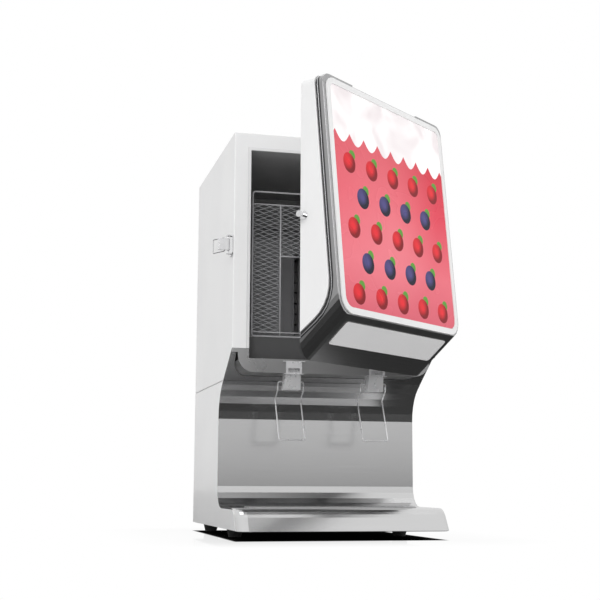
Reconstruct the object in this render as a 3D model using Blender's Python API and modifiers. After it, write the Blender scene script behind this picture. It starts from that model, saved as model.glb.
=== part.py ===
"""Two-tap countertop juice dispenser with a chilled crate compartment and a hinged, backlit door.

Metres, +Z up, the user in front at -Y. The pieces are drawn round the middle of the cabinet's front
face, with Z = 0 on the counter, and the whole machine is then set with its footprint on the origin.
"""
import bpy
import bmesh
from math import atan2, cos, pi, radians, sin, tan
from mathutils import Euler, Matrix, Vector

# General clearances and counts
GAP = 0.0003
OVERRUN = 0.02
ARC_STEPS = 5
ROUND_STEPS = 24

# Cabinet
WIDTH = 0.430
DEPTH = 0.475
HEIGHT = 0.826
FOOT_HEIGHT = 0.0195
SEAM_Z = 0.3205
FRONT_LOW_Z = 0.378
SLOPE = radians(31)
WALL = 0.0018
SKIN = 0.002
EDGE = 0.0015
SEAM = 0.0008

# Splash wall and base
WALL_Y = 0.147
KNEE_RADIUS = 0.080
FILLET_RADIUS = 0.042
BASE_TOP_Z = 0.062
NOSE_TOP_Y = -0.034
NOSE_LOW_Y = -0.064
NOSE_RADIUS = 0.040
NOSE_CORNER = 0.022

# Compartment
FRAME_SIDE = 0.0345
FRAME_HEAD = 0.037
OPENING_LOW_Z = 0.358
REAR_FOAM = 0.070
LINER_WALL = 0.003
TRIM_WIDTH = 0.0057
TRIM_PROUD = 0.0008
TRIM_DEPTH = 0.004
SHELF_TOP_Z = 0.405
SHELF_FRONT_Y = 0.030

# Tap housing below the opening
HOUSING_MARGIN = 0.012
HOUSING_LOW_Z = 0.330
HOUSING_RADIUS = 0.033
HOUSING_EAR = 0.008

# Taps
TAP_SPACING = 0.1756
BRACKET_WIDTH = 0.0326
BRACKET_WALL = 0.0018
BRACKET_PROUD = 0.0030
BRACKET_DEPTH = 0.038
BRACKET_LIP = 0.0015
BRACKET_LIP_PROUD = 0.0034
TOP_LIP_WIDTH = 0.0456
LOW_LIP_WIDTH = 0.0410
BRACKET_LOW_Z = 0.3290
BRACKET_TOP_Z = 0.3533
BRACKET_SLOT = (0.0240, 0.0090)
TAP_TOP_WIDTH = 0.0310
TAP_FLARE_SHARE = 0.13
TAP_FRONT_Y = 0.003
TAP_LEAN = 0.009
TAP_DEPTH = 0.031
TAP_LOW_Z = 0.2975
NECK_HEIGHT = 0.020
TUBE_BORE = 0.010
TUBE_Y = 0.0125
OUTLET_Y = 0.0190
CAVITY_FRONT_Y = 0.0125
CAVITY_WIDTH = 0.0236
CAVITY_HEIGHT = 0.022
TAP_WALL = 0.003
ROCKER_RADIUS = 0.0045
ROCKER_NOSE = 0.0135
ROCKER_BLADE = 0.0032
PIVOT_Y = 0.024
PIVOT_Z = 0.3145
WIRE = 0.0028
BAIL_WIDTH = 0.0536
BAIL_SHOULDER = 0.004
BAIL_BEND = 0.004
BAIL_DROP = 0.0165
BAIL_KINK = 0.023
BAIL_KINK_DROP = 0.0172
BAIL_REACH = 0.039
BAIL_LENGTH = 0.084
SPRING_WIRE = 0.0009
SPRING_WIDTH = 0.0070
SPRING_TURNS = 5
SPRING_TURN_STEPS = 8
SPRING_Z = 0.3065

# Crates
CRATE_WIDTH = 0.166
CRATE_SPACING = 0.177
CRATE_SLACK = 0.0275
CRATE_HEADROOM = 0.0775
CRATE_BODY_DROP = 0.0285
CRATE_SHEET = 0.0015
GUARD_BAR = 0.004
GUARD_CORNER = 0.008
GUARD_HEAD = 0.028
GUARD_SLOT_WIDTH = 0.044
GUARD_SLOT_HEIGHT = 0.165
DIAMOND_WIDTH = 0.0230
DIAMOND_HEIGHT = 0.0291
STRAND = 0.0016
CRATE_WINDOW_BAR = 0.035
CRATE_WINDOW_EDGE = 0.044
CRATE_WINDOWS = 3

# Drip tray
TRAY_WIDTH = 0.330
TRAY_LENGTH = 0.092
TRAY_FRONT_Y = -0.004
TRAY_RIM = 0.006
TRAY_RIM_THICKNESS = 0.0015
TRAY_DEPTH = 0.018
TRAY_WALL = 0.002
TRAY_CORNER = 0.010
GRID_THICKNESS = 0.002
GRID_SLOT = 0.0055
GRID_BAR = 0.0075

# Feet
FOOT_WIDTH = 0.034
FOOT_PAD_WIDTH = 0.026
FOOT_FLANGE = 0.004
FOOT_INSET = 0.036
FRONT_FOOT_Y = 0.135
REAR_FOOT_INSET = 0.042

# Cooling unit
POT_RADIUS = 0.058
POT_HEIGHT = 0.150
POT_FLANGE = 0.006
POT_DOME = 0.030
COMPRESSOR_X = -0.105
COMPRESSOR_BACK = 0.145
CONDENSER_SIZE = (0.170, 0.044, 0.190)
CONDENSER_X = 0.100
CONDENSER_BACK = 0.057
FINS = 12
FIN_GAP_SHARE = 0.6
FAN_RADIUS = 0.068
FAN_RING = 0.004
FAN_DEPTH = 0.030
FAN_HUB_RADIUS = 0.020
FAN_SHAFT = 0.006
FAN_BLADES = 5
FAN_BLADE = 0.0024
FAN_PITCH = radians(32)
FAN_TIP_GAP = 0.004
MOTOR_RADIUS = 0.024
MOTOR_LENGTH = 0.034
LOUVRE_HEIGHT = 0.005
LOUVRE_PITCH = 0.016
LOUVRE_WIDTH = 0.150
LOUVRES = 10
INLET_SIZE = (0.050, 0.028)
INLET_DEPTH = 0.022
INLET_PROUD = 0.003
INLET_LIP = 0.005
INLET_PLACE = (-0.150, 0.062)
EVAPORATOR_MARGIN = (0.0305, 0.052)
EVAPORATOR_THICKNESS = 0.016

# Door, drawn shut
DOOR_GAP = 0.004
DOOR_RISE = 0.0295
DOOR_MID_Z = 0.55
DOOR_MID_DEPTH = 0.0777
DOOR_LEAN = radians(5)
CHIN_FRONT_Z = 0.4076
CHIN_REAR_Z = 0.329
TOP_CORNER = 0.022
LOW_CORNER = 0.031
REAR_TOP_RADIUS = 0.015
SHELL_DEPTH = 0.022
SHELL_REAR_Z = 0.378
SHELL_RADIUS = 0.080
BAND_DEPTH = 0.0120
BAND_REAR_Z = 0.365
BAND_RADIUS = 0.090
LAYER_SLOPE = radians(35.5)
BAND_INSET = 0.0025
CHIN_EDGE_RADIUS = 0.004
BEZEL_WIDTH = 0.4146
BEZEL_THICKNESS = 0.0028
BEZEL_RIM = 0.0110
BEZEL_FOOT = 0.0120
ART_CORNER = 0.012
ART_LOW_CORNER = 0.020
GRAPHIC_THICKNESS = 0.0015
LAMP_SIZE_MARGIN = 0.020
POSTER_SLOT_WIDTH = 0.232
POSTER_SLOT_DROP = 0.0035
POSTER_SLOT_DEPTH = 0.008
PLATE_WIDTH = 0.352
PLATE_RISE = 0.056
PLATE_LOW = 0.045
PLATE_THICKNESS = 0.0010
PLATE_CORNER = 0.006
RECESS_MARGIN = 0.045
RECESS_DEPTH = 0.010
RECESS_CORNER = 0.020
GASKET_WIDTH = 0.006
GASKET_CLEARANCE = 0.0010
GASKET_LOW_Z = 0.3552

# Door hinges
HINGE_X = 0.200
HINGE_Y = -0.042
HINGE_RISE = 0.082
HINGE_PLATE = 0.003
HINGE_PLAY = 0.0012
HINGE_EYE = 0.0072
HINGE_ARM = 0.010
HINGE_FOOT = (0.022, 0.040)
HINGE_FOOT_THICKNESS = 0.0025
PIN_WIDTH = 0.006
PIN_LENGTH = 0.034
PIN_PLAY = 0.0003
DOOR_OPEN = radians(39.6)

# Side latch and its keeper
LATCH_Z = 0.590
KEEPER_Y = -0.0135
KEEPER_NECK = 0.006
KEEPER_REACH = 0.0142
KEEPER_HEAD = 0.012
KEEPER_HEAD_THICKNESS = 0.0035
KEEPER_FLANGE = 0.015
KEEPER_FLANGE_THICKNESS = 0.0015
LATCH_PLATE = (0.030, 0.044)
LATCH_PLATE_THICKNESS = 0.002
LATCH_PLATE_FRONT_Y = 0.003
LATCH_PIVOT_Y = 0.011
LATCH_PIVOT_OUT = 0.0090
LATCH_PIN = 0.003
LATCH_EAR = 0.0022
LATCH_EAR_RADIUS = 0.005
LEVER_HEIGHT = 0.024
LEVER_LENGTH = 0.022
LEVER_THICKNESS = 0.0056
LEVER_BARREL = 0.0034
LOOP_SETBACK = 0.0075
LOOP_OUT = 0.0032
LOOP_WIRE = 0.0022
LOOP_PLAY = 0.0010
LATCH_OPEN = radians(80)
LOOP_SWING = radians(230)


def clear_scene():
    """Remove what is in the scene at the start."""
    for thing in list(bpy.data.objects):
        bpy.data.objects.remove(thing, do_unlink=True)


def new_collection(name):
    collection = bpy.data.collections.new(name)
    bpy.context.scene.collection.children.link(collection)
    return collection


def finish(name, colour, roughness, metallic):
    """A painted, moulded or metal finish."""
    material = bpy.data.materials.new(name)
    material.use_nodes = True
    shader = material.node_tree.nodes["Principled BSDF"]
    shader.inputs["Base Color"].default_value = (*colour, 1.0)
    shader.inputs["Roughness"].default_value = roughness
    shader.inputs["Metallic"].default_value = metallic
    material.diffuse_color = (*colour, 1.0)
    return material


clear_scene()
PARTS = new_collection("juice_dispenser")
TOOLS = new_collection("cutters")

WHITE = finish("white_paint", (0.86, 0.86, 0.86), 0.30, 0.0)
STEEL = finish("brushed_steel", (0.50, 0.50, 0.51), 0.35, 1.0)
CHROME = finish("polished_chrome", (0.80, 0.80, 0.81), 0.12, 1.0)
SILVER = finish("silver_plastic", (0.60, 0.60, 0.61), 0.38, 0.4)
GREY = finish("dark_liner", (0.10, 0.10, 0.105), 0.55, 0.0)
BLACK = finish("black_plastic", (0.03, 0.03, 0.03), 0.50, 0.0)
RUBBER = finish("soft_rubber", (0.04, 0.04, 0.04), 0.80, 0.0)
FOAM = finish("foam", (0.80, 0.74, 0.55), 0.90, 0.0)
WIRE_FINISH = finish("coated_wire", (0.55, 0.55, 0.56), 0.40, 0.6)
PRINT = finish("backlit_print", (0.85, 0.16, 0.22), 0.25, 0.0)
LAMP = finish("lamp_board", (0.90, 0.90, 0.86), 0.60, 0.0)
GALVANISED = finish("galvanised_sheet", (0.55, 0.56, 0.57), 0.45, 0.9)
ALUMINIUM = finish("bare_aluminium", (0.75, 0.75, 0.76), 0.35, 1.0)


def pivot(name, place, turn=(0, 0, 0), carrier=None):
    """An empty that carries pieces; a moving piece's stands on its joint's axis."""
    empty = bpy.data.objects.new(name, None)
    PARTS.objects.link(empty)
    empty.empty_display_size = LATCH_PIN
    empty.parent = carrier
    empty.location = place
    empty.rotation_euler = turn
    return empty


CABINET = pivot("cabinet_origin", (0, 0, 0))


def shift_for(carrier):
    """Where the cabinet's own origin lies in the frame of a piece's carrier, drawn shut."""
    place = Vector((0, 0, 0))
    while carrier is not None and carrier is not CABINET:
        place -= carrier.location
        carrier = carrier.parent
    return place


def adopt(thing, name, material, carrier=None, at=None):
    """Give a mesh object its name, finish and carrier, and put it with the parts."""
    thing.name = name
    thing.data.name = name
    thing.data.materials.clear()
    thing.data.materials.append(material)
    thing.data.shade_smooth()
    thing.data.set_sharp_from_angle(angle=radians(35))
    PARTS.objects.link(thing)
    thing.parent = carrier or CABINET
    thing.location = Vector(at or (0, 0, 0)) + shift_for(thing.parent)
    return thing


def as_tool(thing, carrier=None):
    """Put a shape with the cutters, drawn as wire and left out of the model."""
    TOOLS.objects.link(thing)
    thing.parent = carrier or CABINET
    thing.location = shift_for(thing.parent)
    thing.hide_render = True
    thing.display_type = "WIRE"
    return thing


def combine(part, tool, operation):
    """Cut, join or trim a part by a tool with a Boolean that stays live."""
    step = part.modifiers.new(operation.lower(), "BOOLEAN")
    step.operation = operation
    step.solver = "EXACT"
    step.object = tool
    return part


def cut(part, *shapes):
    for shape in shapes:
        combine(part, as_tool(shape, part.parent), "DIFFERENCE")
    return part


def join(part, *shapes):
    for shape in shapes:
        combine(part, as_tool(shape, part.parent), "UNION")
    return part


def from_bmesh(form):
    mesh = bpy.data.meshes.new("form")
    form.to_mesh(mesh)
    form.free()
    return bpy.data.objects.new("form", mesh)


def boxes(*spans):
    """One or more plain boxes in one mesh, each between a low and a high corner."""
    form = bmesh.new()
    for low, high in spans:
        low, high = Vector(low), Vector(high)
        size = Matrix.Diagonal((high - low).to_4d())
        size[3][3] = 1
        bmesh.ops.create_cube(form, size=1, matrix=Matrix.Translation((low + high) / 2) @ size)
    return from_bmesh(form)


def cylinder(radius, length, middle, axis, sides=ROUND_STEPS):
    """A round bar or bore along a direction."""
    form = bmesh.new()
    turn = Vector((0, 0, 1)).rotation_difference(Vector(axis)).to_matrix().to_4x4()
    place = Matrix.Translation(middle) @ turn
    bmesh.ops.create_cone(form, cap_ends=True, segments=sides, radius1=radius, radius2=radius,
                          depth=length, matrix=place)
    return from_bmesh(form)


def turned(profile, place, axis=(0, 0, 1), sides=ROUND_STEPS):
    """A turned piece: its (radius, height) profile runs down the outer side, top to bottom."""
    mesh = bpy.data.meshes.new("profile")
    points = [(radius, 0, height) for radius, height in profile]
    mesh.from_pydata(points, [(n, n + 1) for n in range(len(points) - 1)], [])
    thing = bpy.data.objects.new("turned", mesh)
    bpy.context.scene.collection.objects.link(thing)
    screw = thing.modifiers.new("turn", "SCREW")
    screw.steps = screw.render_steps = sides
    screw.use_merge_vertices = True
    screw.merge_threshold = GAP / 10
    turn = Vector((0, 0, 1)).rotation_difference(Vector(axis)).to_matrix().to_4x4()
    return settled(thing, Matrix.Translation(place) @ turn)


def settled(thing, frame):
    """The evaluated shape as a plain mesh, welded, with its place in the mesh."""
    graph = bpy.context.evaluated_depsgraph_get()
    graph.update()
    mesh = bpy.data.meshes.new_from_object(thing.evaluated_get(graph))
    form = bmesh.new()
    form.from_mesh(mesh)
    bmesh.ops.remove_doubles(form, verts=form.verts, dist=GAP / 10)
    bmesh.ops.transform(form, matrix=frame, verts=form.verts)
    bmesh.ops.recalc_face_normals(form, faces=form.faces)
    bpy.data.objects.remove(thing, do_unlink=True)
    return from_bmesh(form)


SIDE = Euler((pi / 2, 0, pi / 2)).to_matrix().to_4x4()
FRONT = Euler((pi / 2, 0, 0)).to_matrix().to_4x4()
PLAN = Matrix.Identity(4)


def prism(outlines, low, high, frame=PLAN, edge=0):
    """A flat outline, with any holes after it, drawn out from low to high along the frame's third axis."""
    curve = bpy.data.curves.new("outline", "CURVE")
    curve.dimensions = "2D"
    curve.fill_mode = "BOTH"
    curve.extrude = (high - low) / 2 - edge
    curve.bevel_depth = edge
    curve.bevel_resolution = 1
    curve.offset = -edge
    for outline in outlines:
        spline = curve.splines.new("POLY")
        spline.points.add(len(outline) - 1)
        for point, (across, up) in zip(spline.points, outline):
            point.co = (across, up, 0, 1)
        spline.use_cyclic_u = True
    thing = bpy.data.objects.new("outline", curve)
    bpy.context.scene.collection.objects.link(thing)
    return settled(thing, frame @ Matrix.Translation((0, 0, (low + high) / 2)))


def front_prism(outlines, near, far, edge=0):
    """A front-view outline of (x, z) drawn from y = near back to y = far."""
    return prism(outlines, -far, -near, FRONT, edge)


def side_prism(outline, left, right, edge=0):
    """A side-view outline of (y, z) drawn from x = left to x = right."""
    return prism([outline], left, right, SIDE, edge)


def rounded(corners, closed=True):
    """Outline points from (coordinates..., radius) corners; works in two or three dimensions."""
    points = []
    last = len(corners) - 1
    for here, (*place, radius) in enumerate(corners):
        corner = Vector(place)
        if radius == 0 or (not closed and here in (0, last)):
            points.append(corner)
            continue
        before = (Vector(corners[here - 1][:-1]) - corner).normalized()
        after = (Vector(corners[(here + 1) % len(corners)][:-1]) - corner).normalized()
        half = before.angle(after) / 2
        middle = corner + (before + after).normalized() * (radius / sin(half))
        start = corner + before * (radius / tan(half)) - middle
        end = corner + after * (radius / tan(half)) - middle
        sweep = pi - 2 * half
        for step in range(ARC_STEPS + 1):
            done = sweep * step / ARC_STEPS
            points.append(middle + (start * sin(sweep - done) + end * sin(done)) / sin(sweep))
    return points


def offset_path(points, distance):
    """A path moved sideways to its left by a distance, mitred at each point."""
    moved = []
    for here, point in enumerate(points):
        back = (point - points[here - 1]).normalized() if here else None
        ahead = (points[here + 1] - point).normalized() if here + 1 < len(points) else None
        back, ahead = back or ahead, ahead or back
        middle = (back + ahead).normalized()
        left = Vector((-middle.y, middle.x))
        moved.append(point + left * (distance / middle.dot(back)))
    return moved


def at_height(start, end, height):
    """The point of a straight line that lies at a height."""
    return start + (end - start) * ((height - start.y) / (end.y - start.y))


def rectangle(left, low, right, top, radius=0):
    corners = [(left, low, radius), (right, low, radius), (right, top, radius), (left, top, radius)]
    return rounded(corners)


def tube(corners, width, closed=False, sides=2):
    """A bent wire or tube through rounded corners."""
    points = rounded(corners, closed)
    curve = bpy.data.curves.new("wire", "CURVE")
    curve.dimensions = "3D"
    curve.bevel_depth = width / 2
    curve.bevel_resolution = sides
    curve.use_fill_caps = True
    spline = curve.splines.new("POLY")
    spline.points.add(len(points) - 1)
    for point, place in zip(spline.points, points):
        point.co = (*place, 1)
    spline.use_cyclic_u = closed
    thing = bpy.data.objects.new("wire", curve)
    bpy.context.scene.collection.objects.link(thing)
    return settled(thing, Matrix.Identity(4))


# Values that follow from the driving sizes
HALF = WIDTH / 2
COVER = SKIN + SEAM
INSIDE = HALF - WALL - GAP
REAR_INSIDE_Y = DEPTH - WALL - GAP
SEAM_Y = (FRONT_LOW_Z - SEAM_Z) / tan(SLOPE)
HALF_OPENING = HALF - FRAME_SIDE
OPENING_TOP_Z = HEIGHT - FRAME_HEAD
LINER_DEPTH = DEPTH - REAR_FOAM
HOUSING_HALF = HALF - HOUSING_MARGIN
HOUSING_REAR_Y = (FRONT_LOW_Z - HOUSING_LOW_Z) / tan(SLOPE) - GAP
DOOR_TOP_Z = HEIGHT + DOOR_RISE
HINGE_HEIGHTS = {"lower": OPENING_LOW_Z + HINGE_RISE, "upper": OPENING_TOP_Z}
CRATE_HEIGHT = OPENING_TOP_Z - SHELF_TOP_Z - CRATE_HEADROOM
CRATE_DEPTH = LINER_DEPTH - EVAPORATOR_THICKNESS - SHELF_FRONT_Y - CRATE_SLACK
CONDENSER_Y = DEPTH - CONDENSER_BACK
TRIM_OUT = HALF_OPENING + TRIM_WIDTH
TRIM_TOP_Z = OPENING_TOP_Z + TRIM_WIDTH
LINER_OUT = HALF_OPENING + LINER_WALL
LINER_LOW_Z = OPENING_LOW_Z - LINER_WALL
LINER_TOP_Z = OPENING_TOP_Z + LINER_WALL
LINER_FRONT_Y = TRIM_DEPTH + GAP
LINER_BACK_Y = LINER_DEPTH + LINER_WALL
TAPS = {"left": -TAP_SPACING / 2, "right": TAP_SPACING / 2}
CRATES = {"left": -CRATE_SPACING / 2, "right": CRATE_SPACING / 2}


def slope_z(y):
    """Height of the sloping cowl's outer face under the cabinet's front."""
    return FRONT_LOW_Z - y * tan(SLOPE)


def lower_profile(nose=0.0):
    """The skin's line from the seam down the splash wall and over the base's nose, in (y, z)."""
    knee_z = slope_z(WALL_Y)
    corners = [
        (SEAM_Y, SEAM_Z - SEAM, 0),
        (WALL_Y, knee_z, KNEE_RADIUS),
        (WALL_Y, BASE_TOP_Z, FILLET_RADIUS),
        (NOSE_TOP_Y - nose, BASE_TOP_Z, NOSE_RADIUS),
        (NOSE_LOW_Y - nose, FOOT_HEIGHT, 0),
    ]
    return rounded(corners, closed=False)


def upper_shell():
    """The white shell: both upper sides, the top and the frame round the opening, in one piece."""
    step = COVER / sin(SLOPE)
    outline = rounded([
        (0, HEIGHT, 2 * EDGE), (0, FRONT_LOW_Z, 0), (step, FRONT_LOW_Z, 0),
        (SEAM_Y + step, SEAM_Z, 0), (DEPTH, SEAM_Z, 0), (DEPTH, HEIGHT, 2 * EDGE),
    ])
    shell = adopt(side_prism(outline, -HALF, HALF, EDGE), "upper_shell", WHITE)
    hollow = boxes(((-HALF + WALL, WALL, SEAM_Z - OVERRUN), (HALF - WALL, DEPTH + OVERRUN, HEIGHT - WALL)))
    mouth = boxes(((-TRIM_OUT - GAP, -OVERRUN, SEAM_Z - OVERRUN),
                   (TRIM_OUT + GAP, WALL + EDGE, TRIM_TOP_Z + GAP)))
    slots = boxes(*hinge_arm_slots())
    return cut(shell, hollow, mouth, slots)


def hinge_arm_slots():
    """Where the hinge arms pass through the front frame."""
    half_arm = HINGE_ARM / 2 + GAP
    half_plate = HINGE_PLATE / 2 + GAP
    return [((HINGE_X - half_arm, -OVERRUN, height - half_plate),
             (HINGE_X + half_arm, WALL + EDGE, height + half_plate)) for height in HINGE_HEIGHTS.values()]


def lower_sides():
    """The two white lower side panels, set back behind the edge of the metal skin."""
    line = offset_path(lower_profile(), COVER)
    line[0] = at_height(line[0], line[1], SEAM_Z - SEAM)
    line[-1] = at_height(line[-1], line[-2], FOOT_HEIGHT)
    base = [Vector((DEPTH, FOOT_HEIGHT)), Vector((DEPTH, SEAM_Z - SEAM))]
    for side, left, right in (("left", -HALF, -HALF + WALL), ("right", HALF - WALL, HALF)):
        adopt(side_prism(line + base, left, right, EDGE / 2), side + "_lower_panel", WHITE)


def cowl():
    """The flat metal cowl that slopes back under the cabinet's front, notched for the tap housing."""
    start = COVER / sin(SLOPE)
    end = SEAM_Y / cos(SLOPE)
    outline = [(-HALF, -end), (HALF, -end), (HALF, -start), (-HALF, -start)]
    frame = Matrix.Translation((0, 0, FRONT_LOW_Z)) @ Matrix.Rotation(pi - SLOPE, 4, "X")
    sheet = adopt(prism([outline], -SKIN, 0, frame), "cowl", STEEL)
    cut(sheet, front_prism([housing_outline(-GAP)], -OVERRUN, HOUSING_REAR_Y + OVERRUN))


def housing_outline(inset):
    """The tap housing's outside in front view, inset by a distance, with its two round lower corners."""
    half, low, radius = HOUSING_HALF - inset, HOUSING_LOW_Z + inset, HOUSING_RADIUS - inset
    top = FRONT_LOW_Z + OVERRUN
    return rounded([(half, top, 0), (-half, top, 0), (-half, low, radius), (half, low, radius)])


def splash_skin():
    """The drawn metal skin: splash wall, base top and rounded nose, with the tray's opening."""
    quarter = [pi / 2 * step / ARC_STEPS for step in range(ARC_STEPS + 1)]
    flat = HALF - NOSE_CORNER
    right = [(flat + NOSE_CORNER * sin(turn), NOSE_CORNER * cos(turn)) for turn in quarter]
    stations = [(-x, nose) for x, nose in reversed(right)] + right
    form = bmesh.new()
    rows = [[form.verts.new((x, y, z)) for y, z in lower_profile(nose)] for x, nose in stations]
    for left_row, right_row in zip(rows, rows[1:]):
        for n in range(len(left_row) - 1):
            form.faces.new((left_row[n], left_row[n + 1], right_row[n + 1], right_row[n]))
    skin = adopt(from_bmesh(form), "splash_skin", STEEL)
    wall = skin.modifiers.new("sheet", "SOLIDIFY")
    wall.thickness = SKIN
    wall.offset = -1
    wall.use_even_offset = True
    tray = tray_outline(TRAY_WALL + GAP)
    cut(skin, prism([tray], BASE_TOP_Z - SKIN - OVERRUN / 4, BASE_TOP_Z + OVERRUN))


def tray_outline(grow=0.0, corner=TRAY_CORNER):
    """The drip tray's inside outline in plan, grown by a distance."""
    half = TRAY_WIDTH / 2 + grow
    return rectangle(-half, TRAY_FRONT_Y - grow, half, TRAY_FRONT_Y + TRAY_LENGTH + grow, corner + grow)


def drip_tray():
    """The lift-out drip tray: a shallow pan that hangs by its rim, and a slotted grid on a ledge."""
    rim_top = BASE_TOP_Z + GAP + TRAY_RIM_THICKNESS
    rim_low = BASE_TOP_Z + GAP
    floor = rim_top - TRAY_DEPTH
    pan = adopt(prism([tray_outline(TRAY_WALL)], floor, rim_top), "drip_tray", STEEL, TRAY)
    join(pan, prism([tray_outline(TRAY_RIM)], rim_low, rim_top))
    cut(pan, prism([tray_outline()], rim_top - GRID_THICKNESS - GAP, rim_top + OVERRUN),
        prism([tray_outline(-TRAY_WALL)], floor + TRAY_WALL, rim_top + OVERRUN))
    half = TRAY_WIDTH / 2 - GAP
    pitch = GRID_SLOT + GRID_BAR
    length = (TRAY_LENGTH - 3 * GRID_BAR) / 2
    slots = []
    for n in range(int((2 * half - GRID_BAR) / pitch)):
        left = -half + GRID_BAR + n * pitch
        for low in (TRAY_FRONT_Y + GRID_BAR, TRAY_FRONT_Y + 2 * GRID_BAR + length):
            slots.append(rectangle(left, low, left + GRID_SLOT, low + length))
    sheet = prism([tray_outline(-GAP)] + slots, rim_top - GRID_THICKNESS, rim_top)
    adopt(sheet, "drip_grid", STEEL, GRID)


def tap_housing():
    """The silver housing under the opening: a front apron with ears and a tray that runs back to the cowl."""
    half = HOUSING_HALF
    ear_z = FRONT_LOW_Z - HOUSING_EAR
    top = FRONT_LOW_Z - GAP
    corners = [
        (-HALF, ear_z, 0), (-half, ear_z, 0), (-half, HOUSING_LOW_Z, HOUSING_RADIUS),
        (half, HOUSING_LOW_Z, HOUSING_RADIUS), (half, ear_z, 0), (HALF, ear_z, 0), (HALF, top, 0),
        (HALF_OPENING, top, 0), (HALF_OPENING, OPENING_LOW_Z, 0), (-HALF_OPENING, OPENING_LOW_Z, 0),
        (-HALF_OPENING, top, 0), (-HALF, top, 0),
    ]
    housing = adopt(front_prism([rounded(corners)], 0, SKIN), "tap_housing", SILVER)
    join(housing, front_prism([housing_outline(GAP)], SKIN / 2, HOUSING_REAR_Y))
    cut(housing, front_prism([housing_outline(SKIN)], SKIN, HOUSING_REAR_Y + OVERRUN),
        boxes(((-HALF, SKIN, LINER_LOW_Z - GAP), (HALF, HOUSING_REAR_Y + OVERRUN, HEIGHT))),
        boxes(((-HALF - OVERRUN, -OVERRUN, top), (HALF + OVERRUN, OVERRUN, HEIGHT))),
        boxes(((-HALF_OPENING, -OVERRUN, OPENING_LOW_Z), (HALF_OPENING, OVERRUN, HEIGHT))))
    for x in TAPS.values():
        half_notch = BRACKET_WIDTH / 2 + GAP
        cut(housing, boxes(((x - half_notch, -OVERRUN, HOUSING_LOW_Z - OVERRUN),
                            (x + half_notch, BRACKET_DEPTH + GAP, BRACKET_TOP_Z + GAP))))


def insulation():
    """The foam body between shell and liner, with room for the tap housing and the hinge feet."""
    front = WALL + GAP
    set_back = 2 * COVER / sin(SLOPE)
    outline = [
        (front, HEIGHT - WALL - GAP), (front, FRONT_LOW_Z + COVER), (set_back, FRONT_LOW_Z + COVER),
        (SEAM_Y + set_back, SEAM_Z + COVER), (REAR_INSIDE_Y, SEAM_Z + COVER),
        (REAR_INSIDE_Y, HEIGHT - WALL - GAP),
    ]
    foam = adopt(side_prism(outline, -INSIDE, INSIDE), "insulation", FOAM)
    liner_space = boxes(((-LINER_OUT - GAP, -OVERRUN, LINER_LOW_Z - GAP),
                         (LINER_OUT + GAP, LINER_BACK_Y + GAP, LINER_TOP_Z + GAP)))
    housing_half = HOUSING_HALF + GAP
    housing_rear = HOUSING_REAR_Y + SKIN + COVER
    housing_space = boxes(((-housing_half, -OVERRUN, SEAM_Z - OVERRUN),
                           (housing_half, housing_rear, LINER_LOW_Z + GAP)))
    trim_space = boxes(((-TRIM_OUT - GAP, -OVERRUN, SEAM_Z), (TRIM_OUT + GAP, LINER_FRONT_Y, TRIM_TOP_Z + GAP)))
    foot_half, foot_rise = HINGE_FOOT[0] / 2 + GAP, HINGE_FOOT[1] / 2 + GAP
    feet = boxes(*[((HINGE_X - foot_half, -OVERRUN, height - foot_rise),
                    (HALF, WALL + HINGE_FOOT_THICKNESS + 2 * GAP, height + foot_rise))
                   for height in HINGE_HEIGHTS.values()])
    cut(foam, liner_space, housing_space, trim_space, feet)


def liner():
    """The dark moulded liner, open at the front, with a hole in its floor for each tap's tube."""
    tub = adopt(boxes(((-LINER_OUT, LINER_FRONT_Y, LINER_LOW_Z), (LINER_OUT, LINER_BACK_Y, LINER_TOP_Z))),
                "liner", GREY)
    cut(tub, boxes(((-HALF_OPENING, -OVERRUN, OPENING_LOW_Z), (HALF_OPENING, LINER_DEPTH, OPENING_TOP_Z))))
    cut(tub, *[cylinder(TUBE_BORE, OVERRUN, (x, SHELF_FRONT_Y + TUBE_BORE + WALL, OPENING_LOW_Z), (0, 0, 1))
               for x in TAPS.values()])
    outline = [(-TRIM_OUT, FRONT_LOW_Z), (-TRIM_OUT, TRIM_TOP_Z), (TRIM_OUT, TRIM_TOP_Z), (TRIM_OUT, FRONT_LOW_Z),
               (HALF_OPENING, FRONT_LOW_Z), (HALF_OPENING, OPENING_TOP_Z),
               (-HALF_OPENING, OPENING_TOP_Z), (-HALF_OPENING, FRONT_LOW_Z)]
    adopt(front_prism([outline], -TRIM_PROUD, TRIM_DEPTH), "opening_trim", SILVER)


def crate_shelf():
    """The raised floor that the crates stand on: a tray turned upside down, with two tube holes."""
    half = HALF_OPENING - GAP
    low = OPENING_LOW_Z + GAP
    rear = LINER_DEPTH - GAP
    shelf = adopt(boxes(((-half, SHELF_FRONT_Y, low), (half, rear, SHELF_TOP_Z))), "crate_shelf", GREY)
    cut(shelf, boxes(((-half + WALL, SHELF_FRONT_Y + WALL, low - OVERRUN), (half - WALL, rear - WALL, SHELF_TOP_Z - WALL))))
    cut(shelf, *[cylinder(TUBE_BORE, OVERRUN, (x, SHELF_FRONT_Y + TUBE_BORE + WALL, SHELF_TOP_Z), (0, 0, 1))
                 for x in TAPS.values()])


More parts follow.
